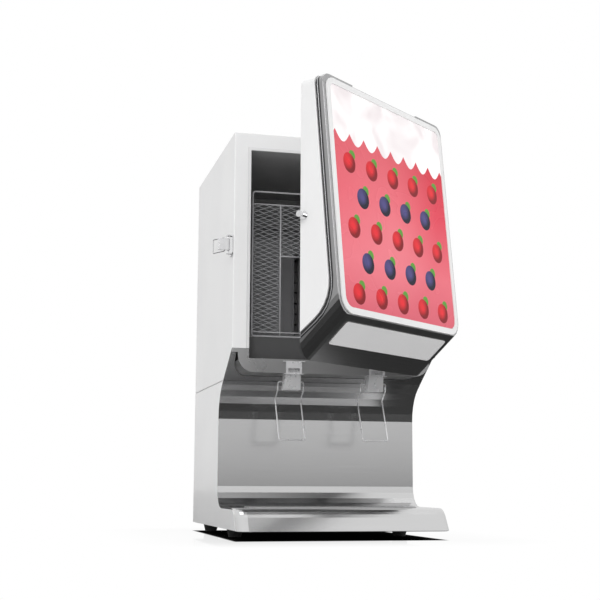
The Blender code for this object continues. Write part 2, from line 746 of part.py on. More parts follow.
def diamonds(left, low, right, top):
    """Staggered diamond holes of an expanded sheet that fit between four bars."""
    half_w, half_h = DIAMOND_WIDTH / 2, DIAMOND_HEIGHT / 2
    inner_w, inner_h = half_w - STRAND, half_h - STRAND
    columns = int((right - left) / half_w + GAP)
    rows = int((top - low) / half_h + GAP)
    step_w, step_h = (right - left) / columns, (top - low) / rows
    scale_w, scale_h = step_w / half_w, step_h / half_h
    holes = []
    for row in range(rows + 1):
        for column in range(columns + 1):
            if (row + column) % 2 == 0:
                continue
            x, z = left + column * step_w, low + row * step_h
            points = [(x - inner_w * scale_w, z), (x, z - inner_h * scale_h),
                      (x + inner_w * scale_w, z), (x, z + inner_h * scale_h)]
            inside = [(min(max(u, left), right), min(max(v, low), top)) for u, v in points]
            holes.append([p for n, p in enumerate(inside) if p != inside[n - 1]])
    return holes


def crates():
    """Two lift-in crates: a bent-sheet body with side windows and an expanded-metal front guard."""
    low = SHELF_TOP_Z + GAP
    top = low + CRATE_HEIGHT
    guard_y = SHELF_FRONT_Y
    body_y = guard_y + CRATE_SHEET + GAP
    body_top = top - CRATE_BODY_DROP
    half = CRATE_WIDTH / 2
    for side, x in CRATES.items():
        left, right = x - half, x + half
        slot_left, slot_right = x - GUARD_SLOT_WIDTH / 2, x + GUARD_SLOT_WIDTH / 2
        floor, head = low + GUARD_BAR, top - GUARD_HEAD
        slot_top = floor + GUARD_SLOT_HEIGHT
        outer = rectangle(left, low, right, top, GUARD_CORNER)
        gap_above = rectangle(left + GUARD_BAR, head + GUARD_BAR, right - GUARD_BAR, top - GUARD_BAR,
                              GUARD_CORNER - GUARD_BAR)
        slot = rectangle(slot_left, floor, slot_right, slot_top)
        holes = diamonds(left + GUARD_BAR, floor, slot_left - GUARD_BAR, head)
        holes += diamonds(slot_left, slot_top + GUARD_BAR, slot_right, head)
        holes += diamonds(slot_right + GUARD_BAR, floor, right - GUARD_BAR, head)
        guard = front_prism([outer, gap_above, slot] + holes, guard_y, guard_y + CRATE_SHEET)
        adopt(guard, side + "_crate_guard", WIRE_FINISH)
        body = adopt(boxes(((left, body_y, low), (right, body_y + CRATE_DEPTH, body_top))),
                     side + "_crate", WIRE_FINISH)
        cut(body, boxes(((left + CRATE_SHEET, body_y - OVERRUN, low + CRATE_SHEET),
                         (right - CRATE_SHEET, body_y + CRATE_DEPTH - CRATE_SHEET, top + OVERRUN))))
        pitch = CRATE_DEPTH / CRATE_WINDOWS
        edge, bar = CRATE_WINDOW_EDGE, CRATE_WINDOW_BAR / 2
        starts = [body_y + pitch * n for n in range(CRATE_WINDOWS)]
        cut(body, boxes(*[((left - OVERRUN, y + bar, low + edge),
                           (right + OVERRUN, y + pitch - bar, body_top - edge)) for y in starts]))


def rear_panels():
    """The flat upper back, and the louvred lower back with its mains inlet."""
    upper = rectangle(-INSIDE, SEAM_Z + GAP, INSIDE, HEIGHT - WALL - GAP)
    adopt(front_prism([upper], DEPTH - WALL, DEPTH), "upper_back_panel", WHITE)
    lower = rectangle(-INSIDE, FOOT_HEIGHT, INSIDE, SEAM_Z - SEAM)
    middle = CONDENSER_X
    first = SEAM_Z - WALL - LOUVRE_PITCH
    holes = [rectangle(middle - LOUVRE_WIDTH / 2, first - n * LOUVRE_PITCH - LOUVRE_HEIGHT,
                       middle + LOUVRE_WIDTH / 2, first - n * LOUVRE_PITCH, LOUVRE_HEIGHT / 2.5)
             for n in range(LOUVRES)]
    inlet_half, inlet_rise = INLET_SIZE[0] / 2 + GAP, INLET_SIZE[1] / 2 + GAP
    x, z = INLET_PLACE
    holes.append(rectangle(x - inlet_half, z - inlet_rise, x + inlet_half, z + inlet_rise))
    adopt(front_prism([lower] + holes, DEPTH - WALL, DEPTH), "louvred_back_panel", WHITE)
    half_w, half_h = INLET_SIZE[0] / 2, INLET_SIZE[1] / 2
    body = front_prism([rectangle(x - half_w, z - half_h, x + half_w, z + half_h)],
                       DEPTH - INLET_DEPTH, DEPTH + GAP + INLET_PROUD / 2)
    inlet = adopt(body, "mains_inlet", BLACK)
    lip = rectangle(x - half_w - INLET_LIP, z - half_h - INLET_LIP, x + half_w + INLET_LIP,
                    z + half_h + INLET_LIP, INLET_LIP / 2)
    join(inlet, front_prism([lip], DEPTH + GAP, DEPTH + GAP + INLET_PROUD))
    mouth = rectangle(x - half_w + INLET_LIP, z - half_h + INLET_LIP / 2, x + half_w - INLET_LIP,
                      z + half_h - INLET_LIP / 2, INLET_LIP / 2)
    cut(inlet, front_prism([mouth], DEPTH - INLET_DEPTH + WALL, DEPTH + OVERRUN))


def decks():
    """The galvanised base plate, and the deck that carries the insulated body over the cooling unit."""
    nose_y = NOSE_LOW_Y + COVER + GAP
    base = rectangle(-INSIDE, nose_y, INSIDE, DEPTH - WALL - GAP)
    adopt(prism([base], FOOT_HEIGHT, FOOT_HEIGHT + SKIN), "base_plate", GALVANISED)
    deck_front = SEAM_Y + 2 * COVER / sin(SLOPE)
    deck = rectangle(-INSIDE, deck_front, INSIDE, REAR_INSIDE_Y)
    adopt(prism([deck], SEAM_Z, SEAM_Z + SKIN), "middle_deck", GALVANISED)


def feet():
    """Four tapered rubber feet with a flange under the base plate."""
    top = FOOT_HEIGHT - GAP
    outer, pad = FOOT_WIDTH / 2, FOOT_PAD_WIDTH / 2
    profile = [(0, top), (outer, top), (outer, top - FOOT_FLANGE), (pad, 0), (0, 0)]
    across = HALF - FOOT_INSET
    for name, x, y in (("front_left", -across, FRONT_FOOT_Y), ("front_right", across, FRONT_FOOT_Y),
                       ("rear_left", -across, DEPTH - REAR_FOOT_INSET),
                       ("rear_right", across, DEPTH - REAR_FOOT_INSET)):
        adopt(turned(profile, (x, y, 0)), name + "_foot", RUBBER)


def cooling_unit():
    """Compressor pot, finned condenser, fan ring with its motor, and the fan that turns in it."""
    deck = FOOT_HEIGHT + SKIN + GAP
    x, y = COMPRESSOR_X, DEPTH - COMPRESSOR_BACK
    top = deck + POT_HEIGHT
    dome = [(POT_RADIUS * sin(pi / 2 * n / ARC_STEPS), top - POT_DOME + POT_DOME * cos(pi / 2 * n / ARC_STEPS))
            for n in range(ARC_STEPS + 1)]
    belt_z = deck + POT_HEIGHT / 2
    side = [(POT_RADIUS, belt_z + POT_FLANGE / 2), (POT_RADIUS + POT_FLANGE, belt_z + POT_FLANGE / 2),
            (POT_RADIUS + POT_FLANGE, belt_z - POT_FLANGE / 2), (POT_RADIUS, belt_z - POT_FLANGE / 2),
            (POT_RADIUS, deck), (0, deck)]
    adopt(turned(dome + side, (x, y, 0)), "compressor", BLACK)

    x, y = CONDENSER_X, CONDENSER_Y
    width, depth, height = CONDENSER_SIZE
    block = adopt(boxes(((x - width / 2, y - depth / 2, deck), (x + width / 2, y + depth / 2, deck + height))),
                  "condenser", ALUMINIUM)
    pitch = width / FINS
    gap = pitch * FIN_GAP_SHARE
    cut(block, boxes(*[((x - width / 2 + pitch * (n + 0.5) - gap / 2, y - depth, deck + WALL),
                        (x - width / 2 + pitch * (n + 0.5) + gap / 2, y + depth, deck + height - WALL))
                       for n in range(FINS)]))

    ring_back = y - depth / 2 - GAP
    ring_front = ring_back - FAN_DEPTH
    z = deck + FAN_RADIUS + FAN_TIP_GAP + FAN_RING
    half = FAN_RADIUS + FAN_TIP_GAP + FAN_RING
    hole = circle(x, z, FAN_RADIUS + FAN_TIP_GAP)
    shroud = adopt(front_prism([rectangle(x - half, deck, x + half, z + half), hole], ring_front, ring_back),
                   "fan_shroud", BLACK)
    motor_front = ring_front - MOTOR_LENGTH / 2
    bar = FAN_RING
    join(shroud,
         boxes(((x - half + bar / 2, ring_front - bar, z - bar), (x + half - bar / 2, ring_front + bar / 2, z + bar))),
         cylinder(MOTOR_RADIUS, MOTOR_LENGTH, (x, motor_front, z), (0, 1, 0)))
    cut(shroud, cylinder(FAN_SHAFT / 2 + GAP, MOTOR_LENGTH, (x, ring_front, z), (0, 1, 0)))

    hub_y = (ring_front + ring_back) / 2
    fan = adopt(cylinder(FAN_HUB_RADIUS, FAN_DEPTH / 2, (x, hub_y, z), (0, 1, 0)), "fan", SILVER, FAN)
    reach = FAN_RADIUS - FAN_HUB_RADIUS / 2
    for n in range(FAN_BLADES):
        blade = boxes(((-FAN_DEPTH / 2 * cos(FAN_PITCH), -FAN_BLADE / 2, 0),
                       (FAN_DEPTH / 2 * cos(FAN_PITCH), FAN_BLADE / 2, reach)))
        turn = (Matrix.Translation((x, hub_y, z)) @ Matrix.Rotation(2 * pi * n / FAN_BLADES, 4, "Y")
                @ Matrix.Translation((0, 0, FAN_HUB_RADIUS / 2)) @ Matrix.Rotation(FAN_PITCH, 4, "Z"))
        blade.data.transform(turn)
        join(fan, blade)
    shaft_length = FAN_DEPTH / 2 + MOTOR_LENGTH / 4
    join(fan, cylinder(FAN_SHAFT / 2, shaft_length, (x, hub_y - shaft_length / 2, z), (0, 1, 0)))

    width, depth = 2 * (HALF_OPENING - EVAPORATOR_MARGIN[0]), EVAPORATOR_THICKNESS
    low = SHELF_TOP_Z + EVAPORATOR_MARGIN[1]
    height = OPENING_TOP_Z - EVAPORATOR_MARGIN[1] - low
    rows = LOUVRES
    pitch = height / (rows + 1)
    slots = [rectangle(-width / 2 + pitch, low + pitch * (n + 1) - LOUVRE_HEIGHT / 2,
                       width / 2 - pitch, low + pitch * (n + 1) + LOUVRE_HEIGHT / 2) for n in range(rows)]
    plate = front_prism([rectangle(-width / 2, low, width / 2, low + height, LOUVRE_PITCH)] + slots,
                        LINER_DEPTH - GAP - depth, LINER_DEPTH - GAP)
    adopt(plate, "evaporator_cover", GREY)


def circle(across, up, radius, sides=ROUND_STEPS):
    return [(across + radius * cos(2 * pi * n / sides), up + radius * sin(2 * pi * n / sides))
            for n in range(sides)]


def hinge_brackets():
    """A flat steel arm for each hinge: its foot behind the front frame, its eye on the door's axis."""
    inner = WALL + GAP
    for name, height in HINGE_HEIGHTS.items():
        arm = rounded([(HINGE_X - HINGE_ARM / 2, inner, 0), (HINGE_X - HINGE_ARM / 2, HINGE_Y, 0),
                       (HINGE_X + HINGE_ARM / 2, HINGE_Y, 0), (HINGE_X + HINGE_ARM / 2, inner, 0)])
        low, high = height - HINGE_PLATE / 2, height + HINGE_PLATE / 2
        bracket = adopt(prism([arm], low, high), name + "_hinge_bracket", GALVANISED)
        foot_half, foot_rise = HINGE_FOOT[0] / 2, HINGE_FOOT[1] / 2
        right = min(HINGE_X + foot_half, INSIDE)
        join(bracket, cylinder(HINGE_EYE, HINGE_PLATE, (HINGE_X, HINGE_Y, height), (0, 0, 1)),
             boxes(((HINGE_X - foot_half, inner, height - foot_rise),
                    (right, inner + HINGE_FOOT_THICKNESS, height + foot_rise))))
        cut(bracket, cylinder(PIN_WIDTH / 2 + PIN_PLAY, PIN_LENGTH, (HINGE_X, HINGE_Y, height), (0, 0, 1)))
        adopt(cylinder(PIN_WIDTH / 2, PIN_LENGTH, (HINGE_X, HINGE_Y, height), (0, 0, 1)),
              name + "_hinge_pin", CHROME, DOOR)


def front_y(z):
    """Depth of the door's leaning front plane at a height, with the door shut."""
    return -(DOOR_GAP + DOOR_MID_DEPTH + tan(DOOR_LEAN) * (DOOR_MID_Z - z))


CHIN_SLOPE = atan2(CHIN_FRONT_Z - CHIN_REAR_Z, -DOOR_GAP - front_y(CHIN_FRONT_Z))


def door_layer(depth, rear_z, slope, radius, top, rear=-DOOR_GAP):
    """A line of the door's side view: down behind its front plane, round a bend and down a slope to the rear."""
    back = depth / cos(DOOR_LEAN)
    rise = tan(slope)
    corner_z = (rear_z + rise * (-DOOR_GAP - front_y(0) - back)) / (1 + rise * tan(DOOR_LEAN))
    corner_y = front_y(corner_z) + back
    return [(front_y(top) + back, top, 0), (corner_y, corner_z, radius),
            (rear, rear_z + rise * (-DOOR_GAP - rear), 0)]


def shell_line(top, grow=0.0, rear=-DOOR_GAP):
    """The front and underside of the white shell, moved out by a distance."""
    return door_layer(SHELL_DEPTH - grow, SHELL_REAR_Z - grow / cos(LAYER_SLOPE), LAYER_SLOPE, SHELL_RADIUS, top, rear)


def band_line(top, grow=0.0):
    """The front and underside of the dark band, moved out by a distance."""
    return door_layer(BAND_DEPTH - grow, BAND_REAR_Z - grow / cos(LAYER_SLOPE), LAYER_SLOPE, BAND_RADIUS, top)


def door_blank(front_line, rear_line, name, material, inset=0.0):
    """A door layer between two lines of the side view; its round lower edges run along the chin."""
    half, slack, far = HALF - inset, GAP / 2, OVERRUN
    blank = adopt(side_prism(rounded(front_line + rear_line), -half, half, EDGE / 2), name, material, DOOR)
    top = DOOR_TOP_Z - inset + slack
    half += slack
    outer = rectangle(-half - far, CHIN_REAR_Z - far, half + far, DOOR_TOP_Z + far)
    hole = rounded([(-half, CHIN_REAR_Z - slack, 0), (half, CHIN_REAR_Z - slack, 0), (half, top, TOP_CORNER),
                    (-half, top, TOP_CORNER)])
    cut(blank, front_prism([outer, hole], front_y(CHIN_FRONT_Z) - far, far))
    along_chin = (Matrix.Translation((0, -DOOR_GAP, CHIN_REAR_Z))
                  @ Matrix.Rotation(pi / 2 - CHIN_SLOPE, 4, "X"))
    low, radius = inset - slack, LOW_CORNER - inset
    outer = rectangle(-half - far, low - far, half + far, DOOR_TOP_Z + far)
    hole = rounded([(-half, low, radius), (half, low, radius), (half, DOOR_TOP_Z, 0), (-half, DOOR_TOP_Z, 0)])
    return cut(blank, prism([outer, hole], -far, HALF, along_chin))


def hinge_room():
    """Room in the door for each fixed hinge arm to sweep, and the bore for its pin."""
    half_plate = HINGE_PLATE / 2 + HINGE_PLAY
    inner = HINGE_X - HINGE_EYE - HINGE_PLAY
    low_y = HINGE_Y - HINGE_EYE - HINGE_PLAY
    rooms = [boxes(((inner, low_y, height - half_plate), (HALF + OVERRUN, OVERRUN, height + half_plate)))
             for height in HINGE_HEIGHTS.values()]
    bores = [cylinder(PIN_WIDTH / 2 + GAP, PIN_LENGTH + 2 * GAP, (HINGE_X, HINGE_Y, height), (0, 0, 1))
             for height in HINGE_HEIGHTS.values()]
    return rooms + bores


def plate_on(frame, outlines, low, high, edge=0):
    return prism(outlines, low, high, frame, edge)


def door():
    """The hinged door: white inner shell, dark band, metal frame, bezel, print, lamp board and trims."""
    rear = [(-DOOR_GAP, DOOR_TOP_Z, REAR_TOP_RADIUS)]
    shell = door_blank(shell_line(DOOR_TOP_Z), rear, "door_shell", WHITE)
    low = SHELL_REAR_Z + RECESS_MARGIN
    half = HALF - RECESS_MARGIN
    recess = rectangle(-half, low, half, DOOR_TOP_Z - RECESS_MARGIN, RECESS_CORNER)
    core_rear = -DOOR_GAP - RECESS_DEPTH - WALL
    core_half = HINGE_X - HINGE_EYE - HINGE_PLAY - 2 * WALL
    core_top = DOOR_TOP_Z - WALL
    ahead = OVERRUN / 2
    room = shell_line(core_top, ahead, core_rear)
    hollow = side_prism(rounded(room + [(core_rear, core_top, 0)]), -core_half, core_half)
    cut(shell, front_prism([recess], -DOOR_GAP - RECESS_DEPTH, OVERRUN), hollow, *hinge_room())
    filled = shell_line(core_top - GAP, 0, core_rear - GAP)
    core = side_prism(rounded(filled + [(core_rear - GAP, core_top - GAP, 0)]), -core_half + GAP, core_half - GAP)
    adopt(core, "door_core", FOAM, DOOR)

    band_top = DOOR_TOP_Z - BAND_INSET
    band = door_blank(band_line(band_top), shell_line(band_top, GAP)[::-1], "door_band", BLACK, BAND_INSET)
    cut(band, *hinge_room())

    plate_depth = BEZEL_THICKNESS + GAP
    front_line = door_layer(plate_depth, CHIN_REAR_Z, CHIN_SLOPE, CHIN_EDGE_RADIUS, DOOR_TOP_Z)
    frame = door_blank(front_line, band_line(DOOR_TOP_Z, GAP)[::-1], "door_frame", STEEL)

    face = (Matrix.Translation((0, front_y(CHIN_FRONT_Z), CHIN_FRONT_Z))
            @ Matrix.Rotation(pi / 2 - DOOR_LEAN, 4, "X"))
    height = (DOOR_TOP_Z - CHIN_FRONT_Z) / cos(DOOR_LEAN)
    half = BEZEL_WIDTH / 2
    rim, foot, art_top = half - BEZEL_RIM, BEZEL_FOOT, height - BEZEL_RIM - BEZEL_FOOT / 2
    art, print_edge = (rounded([(-rim - grow, foot - grow, ART_LOW_CORNER), (rim + grow, foot - grow, ART_LOW_CORNER),
                                (rim + grow, art_top + grow, ART_CORNER), (-rim - grow, art_top + grow, ART_CORNER)])
                       for grow in (0, -GAP))
    outer_top = height - BEZEL_FOOT / 2
    outer = rounded([(-half, 0, LOW_CORNER), (half, 0, LOW_CORNER), (half, outer_top, TOP_CORNER),
                     (-half, outer_top, TOP_CORNER)])
    adopt(plate_on(face, [outer, art], -BEZEL_THICKNESS, 0), "door_bezel", WHITE, DOOR)
    adopt(plate_on(face, [print_edge], -BEZEL_THICKNESS, -BEZEL_THICKNESS + GRAPHIC_THICKNESS),
          "display_print", PRINT, DOOR)
    margin = LAMP_SIZE_MARGIN
    lamp = rectangle(-half + margin, margin, half - margin, height - 2 * margin)
    top = -BEZEL_THICKNESS - GAP
    adopt(plate_on(face, [lamp], -BAND_DEPTH + 2 * GAP, top), "lamp_board", LAMP, DOOR)
    room = rectangle(-half + margin - GAP, margin - GAP, half - margin + GAP, height - 2 * margin + GAP)
    slot = POSTER_SLOT_WIDTH / 2
    poster_slot = rectangle(-slot, height - POSTER_SLOT_DROP, slot, height + OVERRUN)
    cut(frame, plate_on(face, [room], -2 * BAND_DEPTH, OVERRUN),
        plate_on(face, [poster_slot], -POSTER_SLOT_DEPTH, OVERRUN), *hinge_room())

    chin = (Matrix.Translation((0, -DOOR_GAP, CHIN_REAR_Z)) @ Matrix.Rotation(pi - CHIN_SLOPE, 4, "X"))
    plate = rectangle(-PLATE_WIDTH / 2, PLATE_LOW, PLATE_WIDTH / 2, PLATE_LOW + PLATE_RISE, PLATE_CORNER)
    adopt(plate_on(chin, [plate], GAP, GAP + PLATE_THICKNESS), "chin_plate", SILVER, DOOR)

    inner = TRIM_OUT + GASKET_CLEARANCE
    outer_half = inner + GASKET_WIDTH
    inner_top = TRIM_TOP_Z + GASKET_CLEARANCE
    ring = [rectangle(-outer_half, GASKET_LOW_Z, outer_half, inner_top + GASKET_WIDTH, GASKET_WIDTH),
            rectangle(-inner, GASKET_LOW_Z + GASKET_WIDTH, inner, inner_top)]
    adopt(front_prism(ring, -DOOR_GAP + GAP, -GAP), "door_gasket", RUBBER, DOOR)


def keeper():
    """The headed stud on the door's free side that the latch loop draws back."""
    neck, head, flange = KEEPER_NECK / 2, KEEPER_HEAD / 2, KEEPER_FLANGE / 2
    out = KEEPER_REACH + KEEPER_HEAD_THICKNESS
    profile = [(0, out), (head, out), (head, KEEPER_REACH), (neck, KEEPER_REACH),
               (neck, KEEPER_FLANGE_THICKNESS), (flange, KEEPER_FLANGE_THICKNESS), (flange, GAP), (0, GAP)]
    stud = turned(profile, (-HALF, KEEPER_Y, LATCH_Z), (-1, 0, 0))
    adopt(stud, "latch_keeper", CHROME, DOOR)


def latch():
    """The over-centre latch on the cabinet's side: base with two ears, lever and wire loop."""
    out = -HALF - LATCH_PIVOT_OUT
    length, height = LATCH_PLATE
    near, far = LATCH_PLATE_FRONT_Y, LATCH_PLATE_FRONT_Y + length
    face = -HALF - GAP
    base = side_prism(rectangle(near, LATCH_Z - height / 2, far, LATCH_Z + height / 2, LATCH_EAR_RADIUS),
                      face - LATCH_PLATE_THICKNESS, face)
    base = adopt(base, "latch_base", CHROME)
    ear = rounded([(face - LATCH_PLATE_THICKNESS / 2, LATCH_PIVOT_Y - LATCH_EAR_RADIUS, 0),
                   (face - LATCH_PLATE_THICKNESS / 2, LATCH_PIVOT_Y + LATCH_EAR_RADIUS, 0),
                   (out - LATCH_EAR_RADIUS, LATCH_PIVOT_Y + LATCH_EAR_RADIUS, LATCH_EAR_RADIUS - GAP),
                   (out - LATCH_EAR_RADIUS, LATCH_PIVOT_Y - LATCH_EAR_RADIUS, LATCH_EAR_RADIUS - GAP)])
    ear_low = LEVER_HEIGHT / 2 + LOOP_PLAY + 2 * LOOP_WIRE
    for side in (-1, 1):
        low = LATCH_Z + side * ear_low
        high = low + side * LATCH_EAR
        join(base, prism([ear], min(low, high), max(low, high)))
    pin_half = ear_low + LATCH_EAR + GAP
    cut(base, cylinder(LATCH_PIN / 2 + GAP, 2 * pin_half + 2 * LATCH_PIN, (out, LATCH_PIVOT_Y, LATCH_Z), (0, 0, 1)))

    half = LEVER_HEIGHT / 2
    barrel = LEVER_BARREL
    lever = adopt(cylinder(barrel, LEVER_HEIGHT, (out, LATCH_PIVOT_Y, LATCH_Z), (0, 0, 1)),
                  "latch_lever", CHROME, LEVER)
    end = LATCH_PIVOT_Y + LEVER_LENGTH
    thick = LEVER_THICKNESS
    handle = rounded([(out - thick, LATCH_PIVOT_Y, 0), (out, LATCH_PIVOT_Y, 0), (out, end - thick, thick / 2),
                      (out - thick, end, thick / 4), (out - 3 * thick / 2, end - thick / 2, thick / 4)])
    join(lever, prism([handle], LATCH_Z - half, LATCH_Z + half),
         cylinder(LATCH_PIN / 2, 2 * (ear_low + LATCH_EAR), (out, LATCH_PIVOT_Y, LATCH_Z), (0, 0, 1)))
    loop_x, loop_y = out - LOOP_OUT, LATCH_PIVOT_Y + LOOP_SETBACK
    cut(lever, cylinder(LOOP_WIRE / 2 + GAP, LEVER_HEIGHT + OVERRUN, (loop_x, loop_y, LATCH_Z), (0, 0, 1)))

    rise = half + LOOP_PLAY + LOOP_WIRE / 2
    front = KEEPER_Y - KEEPER_NECK / 2 - GAP - LOOP_WIRE / 2
    bend = LOOP_WIRE
    ring = [(loop_x, loop_y, LATCH_Z - rise, bend), (loop_x, front, LATCH_Z - rise, bend),
            (loop_x, front, LATCH_Z + rise, bend), (loop_x, loop_y, LATCH_Z + rise, bend)]
    adopt(tube(ring, LOOP_WIRE, closed=True), "latch_loop", CHROME, LOOP)


def tap(side, x, lever):
    """One tap: bracket in the housing's notch, pinch body, rocker, spring, cap and wire bail."""
    half = BRACKET_WIDTH / 2
    wall = BRACKET_WALL
    front, rear = -BRACKET_PROUD, BRACKET_DEPTH
    plan = [(x - half, rear), (x - half, front), (x + half, front), (x + half, rear),
            (x + half - wall, rear), (x + half - wall, front + wall), (x - half + wall, front + wall),
            (x - half + wall, rear)]
    bracket = adopt(prism([plan], BRACKET_LOW_Z, BRACKET_TOP_Z), side + "_tap_bracket", CHROME)
    for low, width in ((BRACKET_TOP_Z - GAP, TOP_LIP_WIDTH), (BRACKET_LOW_Z - BRACKET_LIP + GAP, LOW_LIP_WIDTH)):
        join(bracket, boxes(((x - width / 2, -BRACKET_LIP_PROUD, low), (x + width / 2, -GAP, low + BRACKET_LIP))))
    slot_w, slot_h = BRACKET_SLOT
    slot_low = BRACKET_LOW_Z + wall
    cut(bracket, boxes(((x - slot_w / 2, front - OVERRUN, slot_low),
                        (x + slot_w / 2, front + 2 * wall, slot_low + slot_h))))

    top = BRACKET_LOW_Z - BRACKET_LIP - GAP
    outline = rounded([(TAP_FRONT_Y, top, 0), (TAP_FRONT_Y + TAP_LEAN, TAP_LOW_Z, EDGE),
                       (TAP_FRONT_Y + TAP_DEPTH, TAP_LOW_Z, EDGE), (TAP_FRONT_Y + TAP_DEPTH, top, 0)])
    half_top = TAP_TOP_WIDTH / 2
    block = side_prism(outline, -half_top, half_top, EDGE / 2)
    height = top - TAP_LOW_Z
    for vertex in block.data.vertices:
        vertex.co.x *= 1 + TAP_FLARE_SHARE * (top - vertex.co.z) / height
        vertex.co.x += x
    body = adopt(block, side + "_tap_body", CHROME)
    neck = half - wall - GAP
    neck_front, neck_rear = TUBE_Y - TUBE_BORE / 2 - wall, TAP_FRONT_Y + TAP_DEPTH - wall
    join(body, boxes(((x - neck, neck_front, top - EDGE), (x + neck, neck_rear, top + NECK_HEIGHT))))
    cavity_low, cavity_high = PIVOT_Z - CAVITY_HEIGHT / 2 - wall, PIVOT_Z + CAVITY_HEIGHT / 2 - wall
    cavity_half = CAVITY_WIDTH / 2
    cavity = boxes(((x - cavity_half, CAVITY_FRONT_Y, cavity_low),
                    (x + cavity_half, TAP_FRONT_Y + TAP_DEPTH + OVERRUN, cavity_high)))
    inlet = cylinder(TUBE_BORE / 2, 2 * NECK_HEIGHT, (x, TUBE_Y, cavity_high + NECK_HEIGHT - WIRE), (0, 0, 1))
    outlet = cylinder(TUBE_BORE / 2, 2 * NECK_HEIGHT, (x, OUTLET_Y, cavity_low - NECK_HEIGHT + WIRE), (0, 0, 1))
    pivot_hole = cylinder(WIRE / 2 + GAP, WIDTH / 4, (x, PIVOT_Y, PIVOT_Z), (1, 0, 0))
    cut(body, cavity, inlet, outlet, pivot_hole)

    cap_y = TAP_FRONT_Y + TAP_DEPTH + GAP
    cap = rectangle(x - cavity_half - wall, cavity_low - wall, x + cavity_half + wall, cavity_high + wall, wall)
    adopt(front_prism([cap], cap_y, cap_y + wall), side + "_tap_cap", BLACK)

    nose = ROCKER_NOSE
    rocker_half = cavity_half - GAP
    rocker = adopt(cylinder(ROCKER_RADIUS, 2 * rocker_half, (x, PIVOT_Y, PIVOT_Z), (1, 0, 0)),
                   side + "_tap_rocker", BLACK, lever)
    tip_y, tip_z = PIVOT_Y - nose * cos(pi / 4), PIVOT_Z - nose * sin(pi / 4)
    blade = ROCKER_BLADE
    wedge = rounded([(PIVOT_Y - ROCKER_RADIUS / 2, PIVOT_Z, 0), (tip_y, tip_z + blade / 2, blade / 4),
                     (tip_y + blade / 2, tip_z - blade / 4, blade / 4), (PIVOT_Y, PIVOT_Z - ROCKER_RADIUS / 2, 0)])
    join(rocker, side_prism(wedge, x - rocker_half + GAP, x + rocker_half - GAP))

    reach = BAIL_WIDTH / 2
    ends = rocker_half + GAP
    y, z = PIVOT_Y, PIVOT_Z
    drop_z = z - BAIL_DROP
    kink_y, kink_z = y + BAIL_SHOULDER + BAIL_KINK, drop_z - BAIL_KINK_DROP
    foot_y, foot_z = kink_y - BAIL_REACH, kink_z - BAIL_LENGTH
    bend = BAIL_BEND
    arm = [(ends, y, z, 0), (reach, y, z, bend), (reach, y + BAIL_SHOULDER, z - 2 * bend, bend),
           (reach, y + BAIL_SHOULDER, drop_z, bend), (reach, kink_y, kink_z, bend), (reach, foot_y, foot_z, bend)]
    right = [(x + across, *rest) for across, *rest in arm]
    left = [(x - across, *rest) for across, *rest in reversed(arm)]
    adopt(tube(right + left, WIRE), side + "_tap_bail", CHROME, lever)

    coil_end = cap_y - GAP
    coil_start = tip_y + blade + nose / 3
    ring = SPRING_WIDTH / 2 - SPRING_WIRE / 2
    count = SPRING_TURNS * SPRING_TURN_STEPS
    turns = []
    for n in range(count + 1):
        angle = 2 * pi * n / SPRING_TURN_STEPS
        along = coil_start + SPRING_WIRE + (coil_end - coil_start - 2 * SPRING_WIRE) * n / count
        turns.append((x + ring * cos(angle), along, SPRING_Z + ring * sin(angle), 0))
    adopt(tube(turns, SPRING_WIRE, sides=0), side + "_tap_spring", CHROME)


def stand_on_origin():
    """Move the machine so that the box it fills at rest stands centred on the origin."""
    bpy.context.view_layer.update()
    graph = bpy.context.evaluated_depsgraph_get()
    points = []
    for thing in PARTS.objects:
        if thing.type == "MESH":
            shape = thing.evaluated_get(graph)
            points += [shape.matrix_world @ vertex.co for vertex in shape.data.vertices]
    low = [min(point[axis] for point in points) for axis in range(3)]
    high = [max(point[axis] for point in points) for axis in range(3)]
    CABINET.location = (-(low[0] + high[0]) / 2, -(low[1] + high[1]) / 2, -low[2])


DOOR = pivot("door_axis", (HINGE_X, HINGE_Y, 0), (0, 0, DOOR_OPEN), CABINET)
LATCH_AXIS_X = -HALF - LATCH_PIVOT_OUT
LEVER = pivot("latch_lever_axis", (LATCH_AXIS_X, LATCH_PIVOT_Y, LATCH_Z), (0, 0, LATCH_OPEN), CABINET)
LOOP = pivot("latch_loop_axis", (-LOOP_OUT, LOOP_SETBACK, 0), (0, 0, -LOOP_SWING), LEVER)
TRAY = pivot("drip_tray_axis", (0, TRAY_FRONT_Y + TRAY_LENGTH / 2, BASE_TOP_Z), (0, 0, 0), CABINET)
GRID = pivot("drip_grid_axis", (0, 0, 0), (0, 0, 0), TRAY)
FAN_Z = FOOT_HEIGHT + SKIN + GAP + FAN_RADIUS + FAN_TIP_GAP + FAN_RING
FAN_Y = CONDENSER_Y - CONDENSER_SIZE[1] / 2 - GAP - FAN_DEPTH / 2
FAN = pivot("fan_axis", (CONDENSER_X, FAN_Y, FAN_Z), (0, 0, 0), CABINET)

upper_shell()
lower_sides()
cowl()
splash_skin()
tap_housing()
insulation()
liner()
crate_shelf()
crates()
rear_panels()
decks()
feet()
cooling_unit()
drip_tray()
hinge_brackets()
door()
keeper()
latch()
for tap_side, tap_x in TAPS.items():
    axis = pivot(tap_side + "_tap_axis", (tap_x, PIVOT_Y, PIVOT_Z), (0, 0, 0), CABINET)
    tap(tap_side, tap_x, axis)
stand_on_origin()
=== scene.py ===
"""A two-tap chilled juice dispenser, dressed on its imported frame: every section is one piece or a
group of like pieces, in the order in which the machine is put together."""
import bpy
import bmesh
from math import cos, pi, radians, sin, tan
from mathutils import Matrix, Vector


